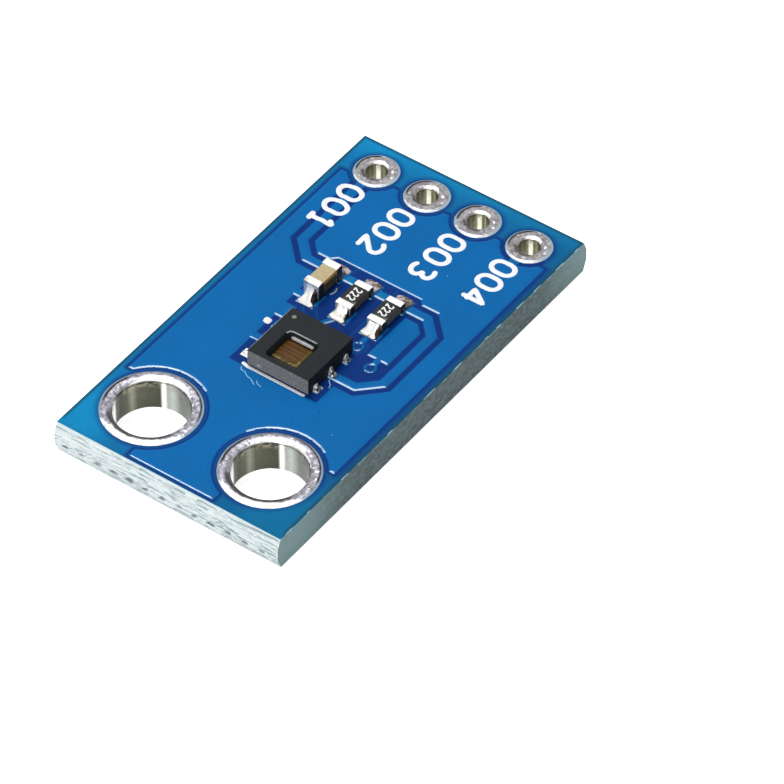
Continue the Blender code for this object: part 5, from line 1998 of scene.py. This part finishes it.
@dataclass
class Studio:
    """Plain light, a plain floor and the camera."""

    azimuth: float = 0.62790406
    elevation: float = 0.7822554625
    distance: float = 253.2317
    focal_pixels: float = 6334.7118
    image_pixels: float = 784.0
    shift_right: float = 2.70048
    shift_up: float = -1.3193
    face_level: float = 0.03
    sky: float = 0.4
    key_share: float = 0.45
    key_direction: tuple[float, float, float] = (-0.269, 0.208, 0.941)
    key_run: tuple[float, float, float] = (0.336, 0.123, 0.07)
    key_size: Point = (170.0, 44.0)
    fill_share: float = 0.34
    fill_direction: tuple[float, float, float] = (0.12, -0.8, 0.59)
    fill_size: Point = (160.0, 160.0)
    lamp_distance: float = 400.0
    floor_tone: float = 0.8
    floor_glow: float = 0.78
    floor_mirrored: float = 0.1
    floor_reach: float = 4.0

    def build_camera(self) -> None:
        """Places the camera as the photograph has it."""
        sine, cosine = math.sin(self.azimuth), math.cos(self.azimuth)
        rise, run = math.sin(self.elevation), math.cos(self.elevation)
        back = Vector((sine * run, -cosine * run, rise))
        right = Vector((cosine, sine, 0.0))
        up = back.cross(right)
        data = bpy.data.cameras.new("camera")
        data.sensor_width = 36.0
        data.lens = self.focal_pixels * data.sensor_width / self.image_pixels
        data.clip_start, data.clip_end = 0.01, 10.0
        camera = hold("camera", data)
        spot = back * self.distance + right * self.shift_right + up * self.shift_up
        spot.z += self.face_level
        turn = Matrix((right, up, back)).transposed().to_4x4()
        camera.matrix_world = Matrix.Translation(spot * MM) @ turn
        bpy.context.scene.camera = camera

    def seen(self, graph: Graph) -> Wire:
        """Tells rays that show a background from those that only light the object."""
        kinds = ("Is Camera Ray", "Is Glossy Ray", "Is Transmission Ray")
        first, second, third = [graph.node("ShaderNodeLightPath", output=kind) for kind in kinds]
        return first.most(second).most(third)

    def build_light(self) -> None:
        """Makes the sky and the two lamps."""
        world = bpy.data.worlds.new("studio")
        world.use_nodes = True
        graph = Graph(world.node_tree)
        graph.tree.nodes.clear()
        strength = self.sky + (1.0 - self.sky) * self.seen(graph)
        sky = graph.node("ShaderNodeBackground", None, {"Color": (1.0, 1.0, 1.0, 1.0), "Strength": strength})
        output = graph.tree.nodes.new("ShaderNodeOutputWorld")
        graph.connect(output.inputs["Surface"], sky)
        bpy.context.scene.world = world
        self.build_lamp("key", self.key_direction, self.key_run, self.key_size, self.key_share)
        self.build_lamp("fill", self.fill_direction, (1.0, 0.0, 0.0), self.fill_size, self.fill_share)

    def build_lamp(
        self,
        name: str,
        towards: Sequence[float],
        run: Sequence[float],
        size: Point,
        share: float,
    ) -> None:
        """Makes one flat lamp that faces the module.

        Args:
            name: Its name.
            towards: The direction in which it stands.
            run: The direction of its long side.
            size: Its two sides, in millimetres.
            share: The light that it gives, where 1 shows a white face turned to it as white.
        """
        direction = Vector(towards).normalized()
        along = (Vector(run) - direction * direction.dot(Vector(run))).normalized()
        lamp = bpy.data.lights.new(name, "AREA")
        lamp.shape = "RECTANGLE"
        lamp.size, lamp.size_y = size[0] * MM, size[1] * MM
        reach = self.lamp_distance * MM
        lamp.energy = share * (math.pi * reach) ** 2
        turn = Matrix((along, direction.cross(along), direction)).transposed().to_4x4()
        hold(name, lamp).matrix_world = Matrix.Translation(direction * reach) @ turn

    def build_floor(self) -> None:
        """Makes the floor, which shows white and keeps the object's shadow."""
        corners = np.array([(-1, -1, 0), (1, -1, 0), (1, 1, 0), (-1, 1, 0)]) * self.floor_reach
        mesh = mesh_of("floor", corners, [range(4)])
        shader = Shader("white_floor")
        mirrored = shader.node("ShaderNodeLightPath", output="Is Glossy Ray")
        strength = self.floor_glow * self.seen(shader) + self.floor_mirrored * mirrored
        sockets = {"Color": (1.0, 1.0, 1.0, 1.0), "Strength": strength}
        glow = shader.node("ShaderNodeEmission", None, sockets)
        matt = shader.node("ShaderNodeBsdfDiffuse", None, {"Color": (*(self.floor_tone,) * 3, 1.0)})
        shader.node_to_output(shader.node("ShaderNodeAddShader", None, {0: matt, 1: glow}))
        mesh.materials.append(shader.material)
        hold("floor", mesh)

    def build(self) -> None:
        """Makes the whole studio."""
        self.build_camera()
        self.build_light()
        self.build_floor()
        bpy.context.scene.view_settings.view_transform = "Standard"


def dress_kept_solids(palette: Palette) -> None:
    """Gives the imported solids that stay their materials."""
    finishes = {
        "sensor_contact": palette.band,
        "sensor_paddle": palette.band,
        "heat_joint": palette.solder,
        "heat_land": palette.band,
        "spare_land": palette.band,
        "sensor_die": palette.die,
    }
    for name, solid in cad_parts.items():
        for start, finish in finishes.items():
            if name.startswith(start):
                solid.data.materials.clear()
                solid.data.materials.append(finish)
                log.info("%s keeps its solid, in %s", name, finish.name)


TOP_NETS = ("copper_pour", "supply_trace", "ground_island", "clock_trace", "data_trace")
LOW_NETS = ("bottom_pour", "clock_run", "data_run")
VIAS = ("via_ground", "via_clock", "via_data")
# Dark arcs on the rings are painted shade, and bright crescents painted highlights.
MOUNT_DARK = (
    (143.0, 212.0, 0.73, 0.11, 1.0),
    (4.0, 98.0, 0.78, 0.075, 0.9),
    (212.0, 346.0, 0.28, 0.2, 0.85),
)
MOUNT_BRIGHT = ((106.0, 62.0, 0.0, 0.4), (288.0, 62.0, 0.97, -0.6))
PIN_DARK = ((106.0, 216.0, 0.73, 0.1, 1.0), (200.0, 320.0, 0.22, 0.14, 0.7))
PIN_BRIGHT = (
    (97.0, 50.0, 0.0, 0.34),
    (284.0, 58.0, 0.95, -0.12),
    (238.0, 10.0, 0.95, -0.1),
    (27.0, 9.0, 0.36, 0.13),
    (-2.0, 6.0, 0.57, 0.12),
)
MOUNT_RIM = 0.84
PIN_RIM = 0.8


def main() -> None:
    """Builds every piece in order."""
    logging.basicConfig(level=logging.INFO, format="%(message)s")
    palette = Palette()
    holes = module_holes()
    top = MaskSkin(Face.TOP, 0.0497, TOP_NETS + VIAS, LOW_NETS, holes).build("mask_top", palette.mask)
    MaskSkin(Face.UNDER, 0.08, LOW_NETS, TOP_NETS, holes).build("mask_under", palette.mask)
    Laminate(holes).build(palette.snapped, palette.routed)
    for number, hole in enumerate(holes):
        wide = hole.bore > 2.0
        sizes = (240, 0.2, MOUNT_DARK, MOUNT_BRIGHT) if wide else (128, 0.12, PIN_DARK, PIN_BRIGHT)
        rim = MOUNT_RIM if wide else PIN_RIM
        ring = PlatedHole(hole, *sizes, rim, seed=number + 1, dimples=9 if number == 1 else 0)
        ring.build(palette.mount_tin if wide else palette.pin_tin)
    surface = shape_of(top.data)
    bmesh.ops.scale(surface, vec=(1 / MM,) * 3, verts=surface.verts)
    strokes = Strokes(BVHTree.FromBMesh(surface), 3.0)
    surface.free()
    Print(strokes).build(palette.ink)
    Residue(strokes).build(palette)
    SensorPackage(palette, strokes).build()
    parts = (
        ChipPart(PartKind.CAPACITOR, "capacitor", ("ground", "supply"), palette, strokes, 51),
        ChipPart(PartKind.RESISTOR, "resistor_data", ("signal", "supply"), palette, strokes, 61),
        ChipPart(PartKind.RESISTOR, "resistor_clock", ("signal", "supply"), palette, strokes, 71),
    )
    for part in parts:
        part.build()
    dress_kept_solids(palette)
    Studio().build()


if __name__ == "__main__":
    main()
